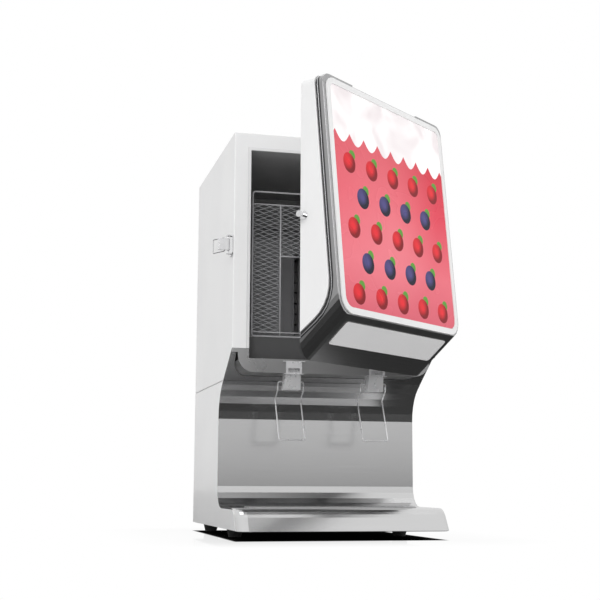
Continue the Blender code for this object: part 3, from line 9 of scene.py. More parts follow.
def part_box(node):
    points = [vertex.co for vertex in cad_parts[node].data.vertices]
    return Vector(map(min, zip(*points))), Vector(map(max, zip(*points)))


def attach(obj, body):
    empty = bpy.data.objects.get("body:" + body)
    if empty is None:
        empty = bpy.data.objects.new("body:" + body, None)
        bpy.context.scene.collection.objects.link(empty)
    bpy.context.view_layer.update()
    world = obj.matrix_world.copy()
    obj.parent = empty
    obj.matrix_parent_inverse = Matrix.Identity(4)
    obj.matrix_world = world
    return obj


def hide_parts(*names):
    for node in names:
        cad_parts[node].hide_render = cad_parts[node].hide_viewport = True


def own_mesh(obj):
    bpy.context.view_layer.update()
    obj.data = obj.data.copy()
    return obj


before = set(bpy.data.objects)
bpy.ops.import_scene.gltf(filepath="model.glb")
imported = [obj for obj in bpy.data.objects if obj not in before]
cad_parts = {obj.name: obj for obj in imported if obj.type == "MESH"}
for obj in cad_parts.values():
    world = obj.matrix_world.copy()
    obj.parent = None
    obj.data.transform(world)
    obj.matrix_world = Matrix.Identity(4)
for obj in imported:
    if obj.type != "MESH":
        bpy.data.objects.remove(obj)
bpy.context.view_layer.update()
scene = bpy.context.scene
scene.view_settings.view_transform = "Standard"


# Viewpoint
# The machine stands on a white floor and is seen from low down, a little to its left, through a
# long lens, so that the underside of the door's chin and of the tap housing shows.
shift = Vector((0.00525, -0.06819, 0))
yaw, pitch, roll = radians(13.780), radians(8.916), radians(0.292)
ahead = Vector((sin(yaw) * cos(pitch), cos(yaw) * cos(pitch), sin(pitch)))
level = Vector((cos(yaw), -sin(yaw), 0))
upright = level.cross(ahead)
right = level * cos(roll) + upright * sin(roll)
up = upright * cos(roll) - level * sin(roll)
eye = bpy.data.objects.new("eye", bpy.data.cameras.new("eye"))
scene.collection.objects.link(eye)
eye.data.sensor_fit = "HORIZONTAL"
eye.data.sensor_width = 36
eye.data.lens = 36 * 1164.7 / 600
eye.data.clip_end = 60
turn = Matrix((right, up, -ahead)).transposed().to_4x4()
eye.matrix_world = Matrix.Translation(Vector((-0.6357, -2.2834, 0.1115)) + shift) @ turn
scene.camera = eye


# Light
# Large soft boxes light the machine evenly, as in a product studio. The room round it is white to
# the eye and, to the metal, a grey gradient that is darker near the floor.
def put(tree, kind, inputs=None, **settings):
    """Add a node; an input is a value or the socket that feeds it."""
    node = tree.nodes.new(kind)
    for key, value in settings.items():
        setattr(node, key, value)
    for key, value in (inputs or {}).items():
        if isinstance(value, bpy.types.NodeSocket):
            tree.links.new(value, node.inputs[key])
        else:
            node.inputs[key].default_value = value
    return node


def maths(tree, operation, *values, **settings):
    """One step of arithmetic on numbers or sockets."""
    return put(tree, "ShaderNodeMath", dict(enumerate(values)), operation=operation, **settings).outputs[0]


def vector_maths(tree, operation, *values):
    """The same on vectors; a length or a dot product comes out as a number."""
    node = put(tree, "ShaderNodeVectorMath", dict(enumerate(values)), operation=operation)
    return node.outputs["Value" if operation in ("LENGTH", "DOT_PRODUCT") else "Vector"]


def ramp(tree, value, stops):
    """A colour ramp through (position, grey or colour) stops."""
    node = put(tree, "ShaderNodeValToRGB", {"Fac": value})
    band = node.color_ramp
    while len(band.elements) < len(stops):
        band.elements.new(0.5)
    for mark, (place, colour) in zip(band.elements, stops):
        mark.position = place
        mark.color = (*colour, 1) if isinstance(colour, tuple) else (colour, colour, colour, 1)
    return node.outputs["Color"]


def soft_box(name, place, aim, width, height, power):
    """A large rectangular lamp, turned towards a point."""
    lamp = bpy.data.lights.new(name, "AREA")
    lamp.shape = "RECTANGLE"
    lamp.size, lamp.size_y, lamp.energy = width, height, power
    box = bpy.data.objects.new(name, lamp)
    scene.collection.objects.link(box)
    box.location = place
    box.rotation_euler = (Vector(aim) - Vector(place)).to_track_quat("-Z", "Y").to_euler()
    return box


soft_box("key_box", (-2.2, -4.2, 3.0), (0, 0, 0.4), 2.6, 2.6, 112)
soft_box("side_box", (2.6, -1.4, 1.2), (0, 0, 0.4), 1.2, 1.6, 18)
soft_box("top_box", (0, 0.4, 3.2), (0, 0, 0.4), 2.0, 1.6, 24)
soft_box("back_box", (-2.6, 3.0, 1.2), (0, 0, 0.5), 1.6, 1.6, 4)

room = bpy.data.worlds.new("room")
scene.world = room
room.use_nodes = True
air = room.node_tree
path = put(air, "ShaderNodeLightPath")
heading = put(air, "ShaderNodeTexCoord").outputs["Generated"]
height_of = put(air, "ShaderNodeSeparateXYZ", {"Vector": heading}).outputs["Z"]
climb = maths(air, "MULTIPLY_ADD", height_of, 0.5, 0.5)
tone = ramp(air, climb, [(0.35, 0.30), (0.50, 0.80), (0.60, 0.88), (0.72, 0.96), (0.85, 1.0)])
plain = put(air, "ShaderNodeMix", {"Factor": path.outputs["Is Camera Ray"], 6: tone, 7: (1, 1, 1, 1)},
            data_type="RGBA")
strength = maths(air, "MULTIPLY_ADD", path.outputs["Is Diffuse Ray"], -0.48, 1.0)
air.nodes["Background"].inputs["Strength"].default_value = 1
air.links.new(plain.outputs[2], air.nodes["Background"].inputs["Color"])
air.links.new(strength, air.nodes["Background"].inputs["Strength"])


# Floor
# A seamless glossy white floor with a painted black shadow filling the machine's own footprint; it
# faintly mirrors the machine's lower edge close by and is plain white further out; the metal sees it as a dim
# grey field.
def material(name):
    """A new node material, with its shader and its Object coordinates."""
    made = bpy.data.materials.new(name)
    made.use_nodes = True
    tree = made.node_tree
    return made, tree, tree.nodes["Principled BSDF"], put(tree, "ShaderNodeTexCoord").outputs["Object"]


ground = bpy.data.meshes.new("floor")
ground.from_pydata([(-12, -12, 0), (12, -12, 0), (12, 12, 0), (-12, 12, 0)], [], [(0, 1, 2, 3)])
floor = bpy.data.objects.new("floor", ground)
scene.collection.objects.link(floor)
lacquer, tree, shader, where = material("white_floor")
cloud = put(tree, "ShaderNodeTexNoise", {"Vector": where, "Scale": 3.0, "Detail": 2.0}).outputs["Fac"]
shader.inputs["Roughness"].default_value = 0.35
tree.links.new(ramp(tree, cloud, [(0.3, 0.88), (0.7, 0.92)]), shader.inputs["Base Color"])
ray = put(tree, "ShaderNodeLightPath").outputs
footprint_middle, footprint_half = (0.0053, 0.1375, 0), (0.213, 0.266, 0)
mirror_reach, mirror_share, shadow_edge = 0.22, 0.22, 0.006
aside = vector_maths(tree, "SUBTRACT", where, footprint_middle)
aside = vector_maths(tree, "ABSOLUTE", aside)
aside = vector_maths(tree, "SUBTRACT", aside, footprint_half)
aside = vector_maths(tree, "MAXIMUM", aside, (0, 0, 0))
away = vector_maths(tree, "LENGTH", aside)
sheen = put(tree, "ShaderNodeMapRange",
            {"Value": away, "From Max": mirror_reach, "To Min": mirror_share, "To Max": 0.0}).outputs[0]
# shade is the painted shadow's mask: 1 inside the machine's footprint, fading to 0 over shadow_edge.
shade = put(tree, "ShaderNodeMapRange",
            {"Value": away, "From Max": shadow_edge, "To Min": 1.0, "To Max": 0.0}).outputs[0]
glow = put(tree, "ShaderNodeEmission", {"Color": (1, 1, 1, 1), "Strength": 1.0}).outputs[0]
gloss = put(tree, "ShaderNodeBsdfGlossy", {"Color": (1, 1, 1, 1), "Roughness": 0.04}).outputs[0]
# dark is the near-black painted shadow that the camera sees inside the footprint.
dark = put(tree, "ShaderNodeBsdfDiffuse", {"Color": (0.012, 0.012, 0.012, 1)}).outputs[0]
dusk = put(tree, "ShaderNodeEmission", {"Color": (0.06, 0.06, 0.06, 1), "Strength": 1.0}).outputs[0]
mixed = put(tree, "ShaderNodeMixShader", {0: sheen, 1: glow, 2: gloss}).outputs[0]
mixed = put(tree, "ShaderNodeMixShader", {0: shade, 1: mixed, 2: dark}).outputs[0]
mixed = put(tree, "ShaderNodeMixShader", {0: ray["Is Camera Ray"], 1: shader.outputs[0], 2: mixed}).outputs[0]
mixed = put(tree, "ShaderNodeMixShader", {0: ray["Is Glossy Ray"], 1: mixed, 2: dusk}).outputs[0]
tree.links.new(mixed, tree.nodes["Material Output"].inputs["Surface"])
ground.materials.append(lacquer)


# White shell and panels
# Pressed sheet steel, folded and powder coated in satin white: the wrap-round upper shell, the two
# lower sides, the flat back, the louvred lower back and the door's rear shell.
def shader_group(name, inputs, outputs):
    """An empty shader node group with named inputs and outputs; returns it with both end nodes."""
    group = bpy.data.node_groups.new(name, "ShaderNodeTree")
    for title, (kind, value) in inputs.items():
        socket = group.interface.new_socket(title, in_out="INPUT", socket_type="NodeSocket" + kind)
        if value is not None:
            socket.default_value = value
    for title, kind in outputs.items():
        group.interface.new_socket(title, in_out="OUTPUT", socket_type="NodeSocket" + kind)
    return group, group.nodes.new("NodeGroupInput").outputs, group.nodes.new("NodeGroupOutput").inputs


def use(tree, group, inputs):
    """Place a group in a material, with its own values."""
    node = tree.nodes.new("ShaderNodeGroup")
    node.node_tree = group
    for key, value in inputs.items():
        if isinstance(value, bpy.types.NodeSocket):
            tree.links.new(value, node.inputs[key])
        else:
            node.inputs[key].default_value = value
    return node.outputs


def dress(names, finish):
    """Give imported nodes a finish."""
    for name in names:
        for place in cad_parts[name].material_slots:
            place.material = finish


skin_texture, given, result = shader_group(
    "skin_texture", {"Vector": ("Vector", None), "Grain": ("Float", 900.0), "Cloud": ("Float", 5.0)},
    {"Height": "Float", "Tone": "Float"})
fine = put(skin_texture, "ShaderNodeTexNoise",
           {"Vector": given["Vector"], "Scale": given["Grain"], "Detail": 2.0})
broad = put(skin_texture, "ShaderNodeTexNoise",
            {"Vector": given["Vector"], "Scale": given["Cloud"], "Detail": 4.0})
skin_texture.links.new(fine.outputs["Fac"], result["Height"])
skin_texture.links.new(broad.outputs["Fac"], result["Tone"])


def coat(name, dark, light, rough, grain, depth, coat_weight=0.0):
    """A painted or moulded skin: slow drift of tone and gloss, and a fine even grain."""
    made, tree, shader, where = material(name)
    skin = use(tree, skin_texture, {"Vector": where, "Grain": grain, "Cloud": 6.0})
    tree.links.new(ramp(tree, skin["Tone"], [(0.3, dark), (0.7, light)]), shader.inputs["Base Color"])
    tree.links.new(ramp(tree, skin["Tone"], [(0.3, rough * 1.15), (0.7, rough * 0.85)]),
                   shader.inputs["Roughness"])
    bump = put(tree, "ShaderNodeBump", {"Height": skin["Height"], "Strength": 0.5, "Distance": depth})
    tree.links.new(bump.outputs["Normal"], shader.inputs["Normal"])
    shader.inputs["Coat Weight"].default_value = coat_weight
    shader.inputs["Coat Roughness"].default_value = 0.1
    return made


white_coat = coat("satin_white_coat", (0.825, 0.825, 0.828), (0.85, 0.85, 0.85), 0.34, 900.0, 0.00003, 0.2)
dress(["upper_shell", "left_lower_panel", "right_lower_panel", "upper_back_panel", "louvred_back_panel",
       "door_shell"], white_coat)


# Brushed steel skins
# Stainless sheet, brushed from side to side and bent: the splash wall with the base and its rounded
# nose, the sloping cowl over it, and the tray with its grid. Its grain runs along the sheet. The cowl
# gets a darker copy of the wall's steel, which is painted shade.
brushing, given, result = shader_group(
    "brushing", {"Vector": ("Vector", None), "Along": ("Float", 6.0), "Across": ("Float", 700.0)},
    {"Height": "Float", "Tone": "Float"})
cells = put(brushing, "ShaderNodeCombineXYZ",
            {"X": given["Along"], "Y": given["Across"], "Z": given["Across"]}).outputs[0]
drawn = vector_maths(brushing, "MULTIPLY", given["Vector"], cells)
hair = put(brushing, "ShaderNodeTexNoise", {"Vector": drawn, "Scale": 1.0, "Detail": 3.0, "Roughness": 0.6})
film = put(brushing, "ShaderNodeTexNoise", {"Vector": given["Vector"], "Scale": 4.0, "Detail": 3.0})
both = maths(brushing, "MULTIPLY_ADD", hair.outputs["Fac"], 0.65, 0.0)
blend = maths(brushing, "MULTIPLY_ADD", film.outputs["Fac"], 0.35, both)
brushing.links.new(hair.outputs["Fac"], result["Height"])
brushing.links.new(blend, result["Tone"])


def brushed(name, dark, light, rough, depth, across=700.0, place=None):
    """Brushed metal; place is the frame of a leaning or turned sheet that its grain follows."""
    made, tree, shader, where = material(name)
    if place:
        spot, spin, _ = place.decompose()
        where = put(tree, "ShaderNodeMapping",
                    {"Vector": where, "Location": spot, "Rotation": spin.to_euler()},
                    vector_type="TEXTURE").outputs[0]
    grain = use(tree, brushing, {"Vector": where, "Across": across})
    tree.links.new(ramp(tree, grain["Tone"], [(0.3, dark), (0.7, light)]), shader.inputs["Base Color"])
    tree.links.new(ramp(tree, grain["Tone"], [(0.3, rough * 1.08), (0.7, rough * 0.94)]),
                   shader.inputs["Roughness"])
    bump = put(tree, "ShaderNodeBump", {"Height": grain["Height"], "Strength": 0.4, "Distance": depth})
    tree.links.new(bump.outputs["Normal"], shader.inputs["Normal"])
    shader.inputs["Metallic"].default_value = 1
    return made


steel = brushed("brushed_sheet", (0.60, 0.60, 0.602), (0.63, 0.63, 0.632), 0.18, 0.0000008)
dress(["splash_skin"], steel)
# The cowl's steel is the wall's sheet made darker: painted shade where the cowl lies back under the tap
# housing.
cowl_painted_shade_steel = brushed("cowl_sheet_painted_shade", (0.42, 0.42, 0.422), (0.45, 0.45, 0.452), 0.22, 0.0000010)
dress(["cowl"], cowl_painted_shade_steel)
tray_steel = brushed("tray_sheet", (0.40, 0.40, 0.405), (0.47, 0.47, 0.475), 0.34, 0.00001, 500.0)
dress(["drip_tray", "drip_grid"], tray_steel)


# Silver mouldings
# The tap housing and the trim round the opening are injection mouldings with a silver lacquer,
# clipped to the shell; the housing's tray runs back under the compartment to the cowl.
def lacquered(name, dark, light, rough, grain, metallic):
    """Silver lacquer: fine flakes in a soft binder."""
    made, tree, shader, where = material(name)
    skin = use(tree, skin_texture, {"Vector": where, "Grain": grain, "Cloud": 9.0})
    tree.links.new(ramp(tree, skin["Height"], [(0.35, dark), (0.65, light)]), shader.inputs["Base Color"])
    tree.links.new(ramp(tree, skin["Tone"], [(0.3, rough * 1.2), (0.7, rough * 0.85)]),
                   shader.inputs["Roughness"])
    bump = put(tree, "ShaderNodeBump", {"Height": skin["Height"], "Strength": 0.3, "Distance": 0.00002})
    tree.links.new(bump.outputs["Normal"], shader.inputs["Normal"])
    shader.inputs["Metallic"].default_value = metallic
    return made


silver = lacquered("silver_lacquer", (0.36, 0.36, 0.362), (0.41, 0.41, 0.412), 0.32, 1800.0, 0.7)
dress(["tap_housing"], silver)
trim_silver = lacquered("trim_lacquer", (0.74, 0.74, 0.742), (0.80, 0.80, 0.802), 0.42, 1800.0, 0.25)
dress(["opening_trim"], trim_silver)


# Compartment lining
# A vacuum-formed dark grey tub, a raised floor for the crates and a slotted cover over the cold
# plate, all with a fine leather-like mould grain; grey rigid foam fills the walls and the door.
lining = coat("dark_lining", (0.055, 0.055, 0.056), (0.072, 0.072, 0.073), 0.45, 600.0, 0.00008)
dress(["crate_shelf"], lining)
tub = coat("tub_lining", (0.33, 0.33, 0.332), (0.39, 0.39, 0.392), 0.5, 600.0, 0.00008)
dress(["liner", "evaporator_cover"], tub)
foam = coat("rigid_foam", (0.060, 0.060, 0.062), (0.085, 0.085, 0.087), 0.9, 260.0, 0.0006)
dress(["insulation", "door_core"], foam)


# Crates
# Each crate is bent from coated sheet, with large windows in its sides. Its front guard is a welded
# wire frame that holds expanded sheet: strands slit and stretched into wide, low diamonds.
def as_piece(name, mesh, finish, body):
    """A finished mesh, already in place, as a piece that rides on a body."""
    mesh.name = name
    piece = bpy.data.objects.new(name, mesh)
    scene.collection.objects.link(piece)
    if finish:
        mesh.materials.clear()
        mesh.materials.append(finish)
    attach(piece, body)
    return piece


def applied(thing, place=Matrix.Identity(4)):
    """The shape of a temporary object as a plain mesh, welded, with its faces turned outwards."""
    graph = bpy.context.evaluated_depsgraph_get()
    graph.update()
    mesh = bpy.data.meshes.new_from_object(thing.evaluated_get(graph))
    form = bmesh.new()
    form.from_mesh(mesh)
    bmesh.ops.remove_doubles(form, verts=form.verts, dist=0.000001)
    bmesh.ops.transform(form, matrix=place, verts=form.verts)
    bmesh.ops.recalc_face_normals(form, faces=form.faces)
    form.to_mesh(mesh)
    form.free()
    bpy.data.objects.remove(thing, do_unlink=True)
    return mesh


def gathered(meshes):
    """Several meshes as one."""
    form = bmesh.new()
    for mesh in meshes:
        form.from_mesh(mesh)
    mesh = bpy.data.meshes.new("gathered")
    form.to_mesh(mesh)
    form.free()
    return mesh


def rod(points, width, closed=False, sides=4, bend=0.0, place=Matrix.Identity(4)):
    """A round wire through points, with its corners bent to one radius or to one for each point."""
    line = []
    bends = bend if isinstance(bend, list) else [bend] * len(points)
    for n, (point, bend) in enumerate(zip(points, bends)):
        point = Vector(point)
        if bend and (closed or 0 < n < len(points) - 1):
            before, after = Vector(points[n - 1]), Vector(points[(n + 1) % len(points)])
            start = point + (before - point).normalized() * bend
            end = point + (after - point).normalized() * bend
            line += [start.lerp(point, t).lerp(point.lerp(end, t), t) for t in (0, 0.2, 0.4, 0.6, 0.8, 1)]
        else:
            line.append(point)
    curve = bpy.data.curves.new("rod", "CURVE")
    curve.dimensions = "3D"
    curve.bevel_depth = width / 2
    curve.bevel_resolution = sides
    curve.use_fill_caps = True
    spline = curve.splines.new("POLY")
    spline.points.add(len(line) - 1)
    for mark, spot in zip(spline.points, line):
        mark.co = (*spot, 1)
    spline.use_cyclic_u = closed
    thing = bpy.data.objects.new("rod", curve)
    scene.collection.objects.link(thing)
    mesh = applied(thing, place)
    mesh.shade_smooth()
    return mesh


def node_tree(name, inputs):
    """An empty geometry tree with named inputs; returns it with both end nodes' sockets."""
    tree = bpy.data.node_groups.new(name, "GeometryNodeTree")
    for title, kind in inputs.items():
        tree.interface.new_socket(title, in_out="INPUT", socket_type="NodeSocket" + kind)
    tree.interface.new_socket("Geometry", in_out="OUTPUT", socket_type="NodeSocketGeometry")
    return tree, tree.nodes.new("NodeGroupInput").outputs, tree.nodes.new("NodeGroupOutput").inputs


def grown(tree, values, place=Matrix.Identity(4)):
    """The plain mesh that a geometry tree gives for some values of its inputs."""
    thing = bpy.data.objects.new("grown", bpy.data.meshes.new("grown"))
    scene.collection.objects.link(thing)
    step = thing.modifiers.new("tree", "NODES")
    step.node_group = tree
    for item in tree.interface.items_tree:
        if item.in_out == "INPUT" and item.name in values:
            step[item.identifier] = values[item.name]
    return applied(thing, place)


expanded, given, result = node_tree("expanded_sheet", {
    "Corner": "Vector", "Columns": "Int", "Rows": "Int", "Half width": "Float", "Half height": "Float",
    "Strand": "Float", "Sheet": "Float", "Finish": "Material"})
across = put(expanded, "ShaderNodeCombineXYZ", {"X": given["Half width"]}).outputs[0]
upward = put(expanded, "ShaderNodeCombineXYZ", {"Z": given["Half height"]}).outputs[0]
marks = maths(expanded, "ADD", given["Columns"], 1.0)
strand_line = put(expanded, "GeometryNodeMeshLine", {"Count": marks, "Offset": across}).outputs[0]
row_line = put(expanded, "GeometryNodeMeshLine",
               {"Count": given["Rows"], "Start Location": given["Corner"], "Offset": upward}).outputs[0]
laid = put(expanded, "GeometryNodeInstanceOnPoints", {"Points": row_line, "Instance": strand_line}).outputs[0]
lines = put(expanded, "GeometryNodeRealizeInstances", {"Geometry": laid}).outputs[0]
number = put(expanded, "GeometryNodeInputIndex").outputs[0]
row = maths(expanded, "DIVIDE", number, marks)
row = maths(expanded, "FLOOR", row)
column = maths(expanded, "MODULO", number, marks)
parity = maths(expanded, "ADD", row, column)
parity = maths(expanded, "MODULO", parity, 2.0)
swing = maths(expanded, "MULTIPLY_ADD", parity, -1.0, 0.5)
rise = maths(expanded, "MULTIPLY", swing, given["Half height"])
rise = maths(expanded, "MULTIPLY", rise, 0.86)
lift = put(expanded, "ShaderNodeCombineXYZ", {"Z": rise}).outputs[0]
zigzag = put(expanded, "GeometryNodeSetPosition", {"Geometry": lines, "Offset": lift}).outputs[0]
threads = put(expanded, "GeometryNodeMeshToCurve", {"Mesh": zigzag}).outputs[0]
section = put(expanded, "GeometryNodeCurvePrimitiveQuadrilateral",
              {"Width": given["Strand"], "Height": given["Sheet"]}).outputs[0]
sheet_mesh = put(expanded, "GeometryNodeCurveToMesh",
                 {"Curve": threads, "Profile Curve": section, "Fill Caps": True}).outputs[0]
whole = put(expanded, "GeometryNodeRealizeInstances", {"Geometry": sheet_mesh}).outputs[0]
finished = put(expanded, "GeometryNodeSetMaterial",
               {"Geometry": whole, "Material": given["Finish"]}).outputs[0]
expanded.links.new(finished, result["Geometry"])

wire_coat = coat("grey_wire_coat", (0.30, 0.30, 0.31), (0.40, 0.40, 0.41), 0.35, 1500.0, 0.00003, 0.4)
crate_low, crate_top, crate_middle, crate_half = 0.4053, 0.7118, 0.0885, 0.083
wire, fine_wire, frame_bend, foot_gap = 0.0036, 0.0026, 0.007, 0.0085
guard_front, head, slot_top, slot_half = 0.0309, 0.6838, 0.5750, 0.022
diamond_width, diamond_height, strand = 0.0115, 0.00485, 0.0010
place = Matrix.Translation(shift)
for side, middle in (("left", -crate_middle), ("right", crate_middle)):
    left, far = middle - crate_half + wire / 2, middle + crate_half - wire / 2
    low, top = crate_low + wire / 2, crate_top - wire / 2
    inner = [middle - slot_half, middle + slot_half]
    meshes = [rod([(left, guard_front, low), (far, guard_front, low), (far, guard_front, top),
                   (left, guard_front, top)],
                  wire, True, 3, frame_bend, place)]
    for z in (head, low + foot_gap):
        meshes.append(rod([(left, guard_front, z), (far, guard_front, z)], fine_wire, place=place))
    for x in inner:
        meshes.append(rod([(x, guard_front, low), (x, guard_front, head)], wire, place=place))
    meshes.append(rod([(inner[0], guard_front, slot_top), (inner[1], guard_front, slot_top)],
                      fine_wire, place=place))
    fields = [(left, inner[0], low + foot_gap, head), (inner[0], inner[1], slot_top, head),
              (inner[1], far, low + foot_gap, head)]
    for start, end, floor_z, ceiling_z in fields:
        columns = max(2, round((end - start) / diamond_width))
        rows = round((ceiling_z - floor_z) / diamond_height)
        step = (ceiling_z - floor_z) / rows
        meshes.append(grown(expanded, {
            "Corner": (start + shift.x, guard_front + shift.y, floor_z + step / 2),
            "Columns": columns, "Rows": rows, "Half width": (end - start) / columns, "Half height": step,
            "Strand": strand, "Sheet": strand, "Finish": wire_coat}))
    guard = as_piece(side + "_guard_mesh", gathered(meshes), wire_coat, "cabinet")
    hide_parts(side + "_crate_guard")
dress(["left_crate", "right_crate"], wire_coat)


# Base, decks and feet
# Zinc-coated sheet carries the machine: the base plate on four tapered rubber feet, and the deck
# over the cooling unit. The hinge arms are stamped from the same stock.
spangle, tree, shader, where = material("zinc_sheet")
flakes = put(tree, "ShaderNodeTexVoronoi", {"Vector": where, "Scale": 90.0}).outputs["Distance"]
tree.links.new(ramp(tree, flakes, [(0.1, (0.50, 0.51, 0.52)), (0.8, (0.64, 0.65, 0.66))]),
               shader.inputs["Base Color"])
tree.links.new(ramp(tree, flakes, [(0.1, 0.35), (0.8, 0.5)]), shader.inputs["Roughness"])
shader.inputs["Metallic"].default_value = 0.9
dress(["base_plate", "middle_deck", "upper_hinge_bracket", "lower_hinge_bracket"], spangle)
rubber = coat("foot_rubber", (0.018, 0.018, 0.018), (0.035, 0.035, 0.036), 0.75, 500.0, 0.0001)
dress(["front_left_foot", "front_right_foot", "rear_left_foot", "rear_right_foot", "door_gasket"], rubber)

screws, given, result = node_tree("screw_row", {
    "Start": "Vector", "Step": "Vector", "Count": "Int", "Turn": "Vector", "Width": "Float",
    "Finish": "Material"})
radius = maths(screws, "MULTIPLY", given["Width"], 0.5)
crown = maths(screws, "MULTIPLY", given["Width"], 0.34)
head_height = maths(screws, "MULTIPLY", given["Width"], 0.28)
head = put(screws, "GeometryNodeMeshCone", {"Vertices": 28, "Radius Top": crown, "Radius Bottom": radius,
                                            "Depth": head_height}).outputs[0]
bar = put(screws, "ShaderNodeCombineXYZ", {"X": radius, "Y": crown, "Z": head_height}).outputs[0]
arms = []
for scale in ((1.1, 0.24, 1.0), (0.24, 1.6, 1.0)):
    size = vector_maths(screws, "MULTIPLY", bar, scale)
    block = put(screws, "GeometryNodeMeshCube", {"Size": size}).outputs[0]
    lift = put(screws, "ShaderNodeCombineXYZ", {"Z": head_height}).outputs[0]
    arms.append(put(screws, "GeometryNodeTransform", {"Geometry": block, "Translation": lift}).outputs[0])
cross = put(screws, "GeometryNodeMeshBoolean", {"Mesh 1": head, "Mesh 2": arms[0]}, operation="DIFFERENCE")
screws.links.new(arms[1], cross.inputs["Mesh 2"])
row_points = put(screws, "GeometryNodeMeshLine",
                 {"Count": given["Count"], "Start Location": given["Start"],
                  "Offset": given["Step"]}).outputs[0]
facing = put(screws, "FunctionNodeEulerToRotation", {"Euler": given["Turn"]}).outputs[0]
laid = put(screws, "GeometryNodeInstanceOnPoints",
           {"Points": row_points, "Instance": cross.outputs["Mesh"], "Rotation": facing}).outputs[0]
whole = put(screws, "GeometryNodeRealizeInstances", {"Geometry": laid}).outputs[0]
finished = put(screws, "GeometryNodeSetMaterial", {"Geometry": whole, "Material": given["Finish"]}).outputs[0]
screws.links.new(finished, result["Geometry"])


def screw_row(start, end, count, turn, width, finish):
    """A row of cross-head screws between two places, all facing one way."""
    start, end = Vector(start) + shift, Vector(end) + shift
    step = (end - start) / max(1, count - 1)
    return grown(screws, {"Start": start, "Step": step, "Count": count, "Turn": turn, "Width": width,
                          "Finish": finish})


back, behind, edge_in, screw_width = 0.4750, (-pi / 2, 0, 0), 0.205, 0.0065
rows = [((-edge_in, back, z), (edge_in, back, z), 4) for z in (0.814, 0.335, 0.300, 0.032)]
rows += [((x, back, 0.410), (x, back, 0.740), 3) for x in (-edge_in, edge_in)]
rows += [((x, back, 0.100), (x, back, 0.230), 2) for x in (-edge_in, edge_in)]
panel_screws = [screw_row(start, end, count, behind, screw_width, spangle) for start, end, count in rows]
as_piece("back_screws", gathered(panel_screws), spangle, "cabinet")


# Cooling unit
# A black painted compressor pot, an aluminium finned condenser and a fan with its motor in a black
# ring stand on the base plate behind the splash wall.
pot_paint = coat("black_pot_paint", (0.012, 0.012, 0.013), (0.03, 0.03, 0.031), 0.4, 500.0, 0.00006)
dress(["compressor"], pot_paint)
fins = brushed("fin_stock", (0.60, 0.60, 0.61), (0.74, 0.74, 0.75), 0.4, 0.00003, 300.0)
dress(["condenser"], fins)
black_moulding = coat("black_moulding", (0.014, 0.014, 0.015), (0.028, 0.028, 0.03), 0.48, 900.0, 0.00005)
dress(["fan_shroud", "mains_inlet"], black_moulding)
fan_grey = coat("fan_grey", (0.36, 0.36, 0.37), (0.44, 0.44, 0.45), 0.45, 900.0, 0.00004)
dress(["fan"], fan_grey)


# Chromed fittings
# Taps, levers, pins, keeper and the side latch are die cast or bent from wire, then polished and
# plated; the plating is bright, with the slight haze of handling. The tap springs are drawn wire.
def plated(name, dark, light, rough, metallic=1.0):
    """Plating over a cast or bent part, with a slow drift of gloss."""
    made, tree, shader, where = material(name)
    skin = use(tree, skin_texture, {"Vector": where, "Grain": 300.0, "Cloud": 40.0})
    tree.links.new(ramp(tree, skin["Tone"], [(0.3, dark), (0.7, light)]), shader.inputs["Base Color"])
    tree.links.new(ramp(tree, skin["Tone"], [(0.35, rough * 1.5), (0.65, rough * 0.7)]),
                   shader.inputs["Roughness"])
    bump = put(tree, "ShaderNodeBump", {"Height": skin["Height"], "Strength": 0.1, "Distance": 0.000008})
    tree.links.new(bump.outputs["Normal"], shader.inputs["Normal"])
    shader.inputs["Metallic"].default_value = metallic
    return made


chrome = plated("bright_plate", (0.70, 0.70, 0.71), (0.80, 0.80, 0.81), 0.14)
satin_plate = plated("satin_plate", (0.70, 0.70, 0.71), (0.78, 0.78, 0.79), 0.30, 0.45)
satin_wire = plated("satin_wire", (0.70, 0.70, 0.71), (0.78, 0.78, 0.79), 0.28, 0.6)
dress(["upper_hinge_pin", "lower_hinge_pin", "latch_keeper", "latch_base", "latch_lever",
       "latch_loop"], chrome)
dress(["left_tap_bail", "right_tap_bail"], satin_wire)
dress(["left_tap_bracket", "right_tap_bracket", "left_tap_body", "right_tap_body"], satin_plate)
dress(["left_tap_rocker", "right_tap_rocker", "left_tap_cap", "right_tap_cap"], black_moulding)
for side in ("left", "right"):
    spring = bpy.data.objects.new("spring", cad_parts[side + "_tap_spring"].data.copy())
    scene.collection.objects.link(spring)
    coil = as_piece(side + "_tap_coil", applied(spring), chrome, "cabinet")
    coil.data.shade_smooth()
    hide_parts(side + "_tap_spring")
    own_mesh(coil)


# Door
# A lit display door: a brushed metal frame with a folded chin, a recessed black band round its back
# edge with a thin light bead in it, a white bezel, and a printed acrylic sheet before the lamps.
pin, swing_out = Vector((0.200, -0.042, 0)), radians(39.6)
door_gap, mid_depth, lean, mid_z = 0.004, 0.0777, radians(5), 0.55
chin_front, door_top, half_door = 0.4076, 0.8555, 0.215
hung = Matrix.Translation(shift + pin) @ Matrix.Rotation(swing_out, 4, "Z") @ Matrix.Translation(-pin)


def door_front(z):
    """The depth of the leaning front at a height."""
    return -(door_gap + mid_depth + tan(lean) * (mid_z - z))


face = (hung @ Matrix.Translation((0, door_front(chin_front), chin_front))
        @ Matrix.Rotation(pi / 2 - lean, 4, "X"))
door_steel = brushed("door_frame_sheet", (0.33, 0.33, 0.333), (0.38, 0.38, 0.383), 0.34,
                     0.000002, 700.0, face)
dress(["door_frame"], door_steel)
dress(["door_band"], black_moulding)
bezel_white = coat("bezel_white", (0.80, 0.80, 0.80), (0.86, 0.86, 0.86), 0.22, 700.0, 0.00002, 0.5)
dress(["door_bezel"], bezel_white)
plate_silver = lacquered("plate_silver", (0.74, 0.74, 0.742), (0.80, 0.80, 0.802), 0.4, 1500.0, 0.15)
dress(["chin_plate"], plate_silver)
lamp_board = coat("lamp_board_white", (0.8, 0.8, 0.76), (0.88, 0.88, 0.84), 0.6, 300.0, 0.00003)
dress(["lamp_board"], lamp_board)

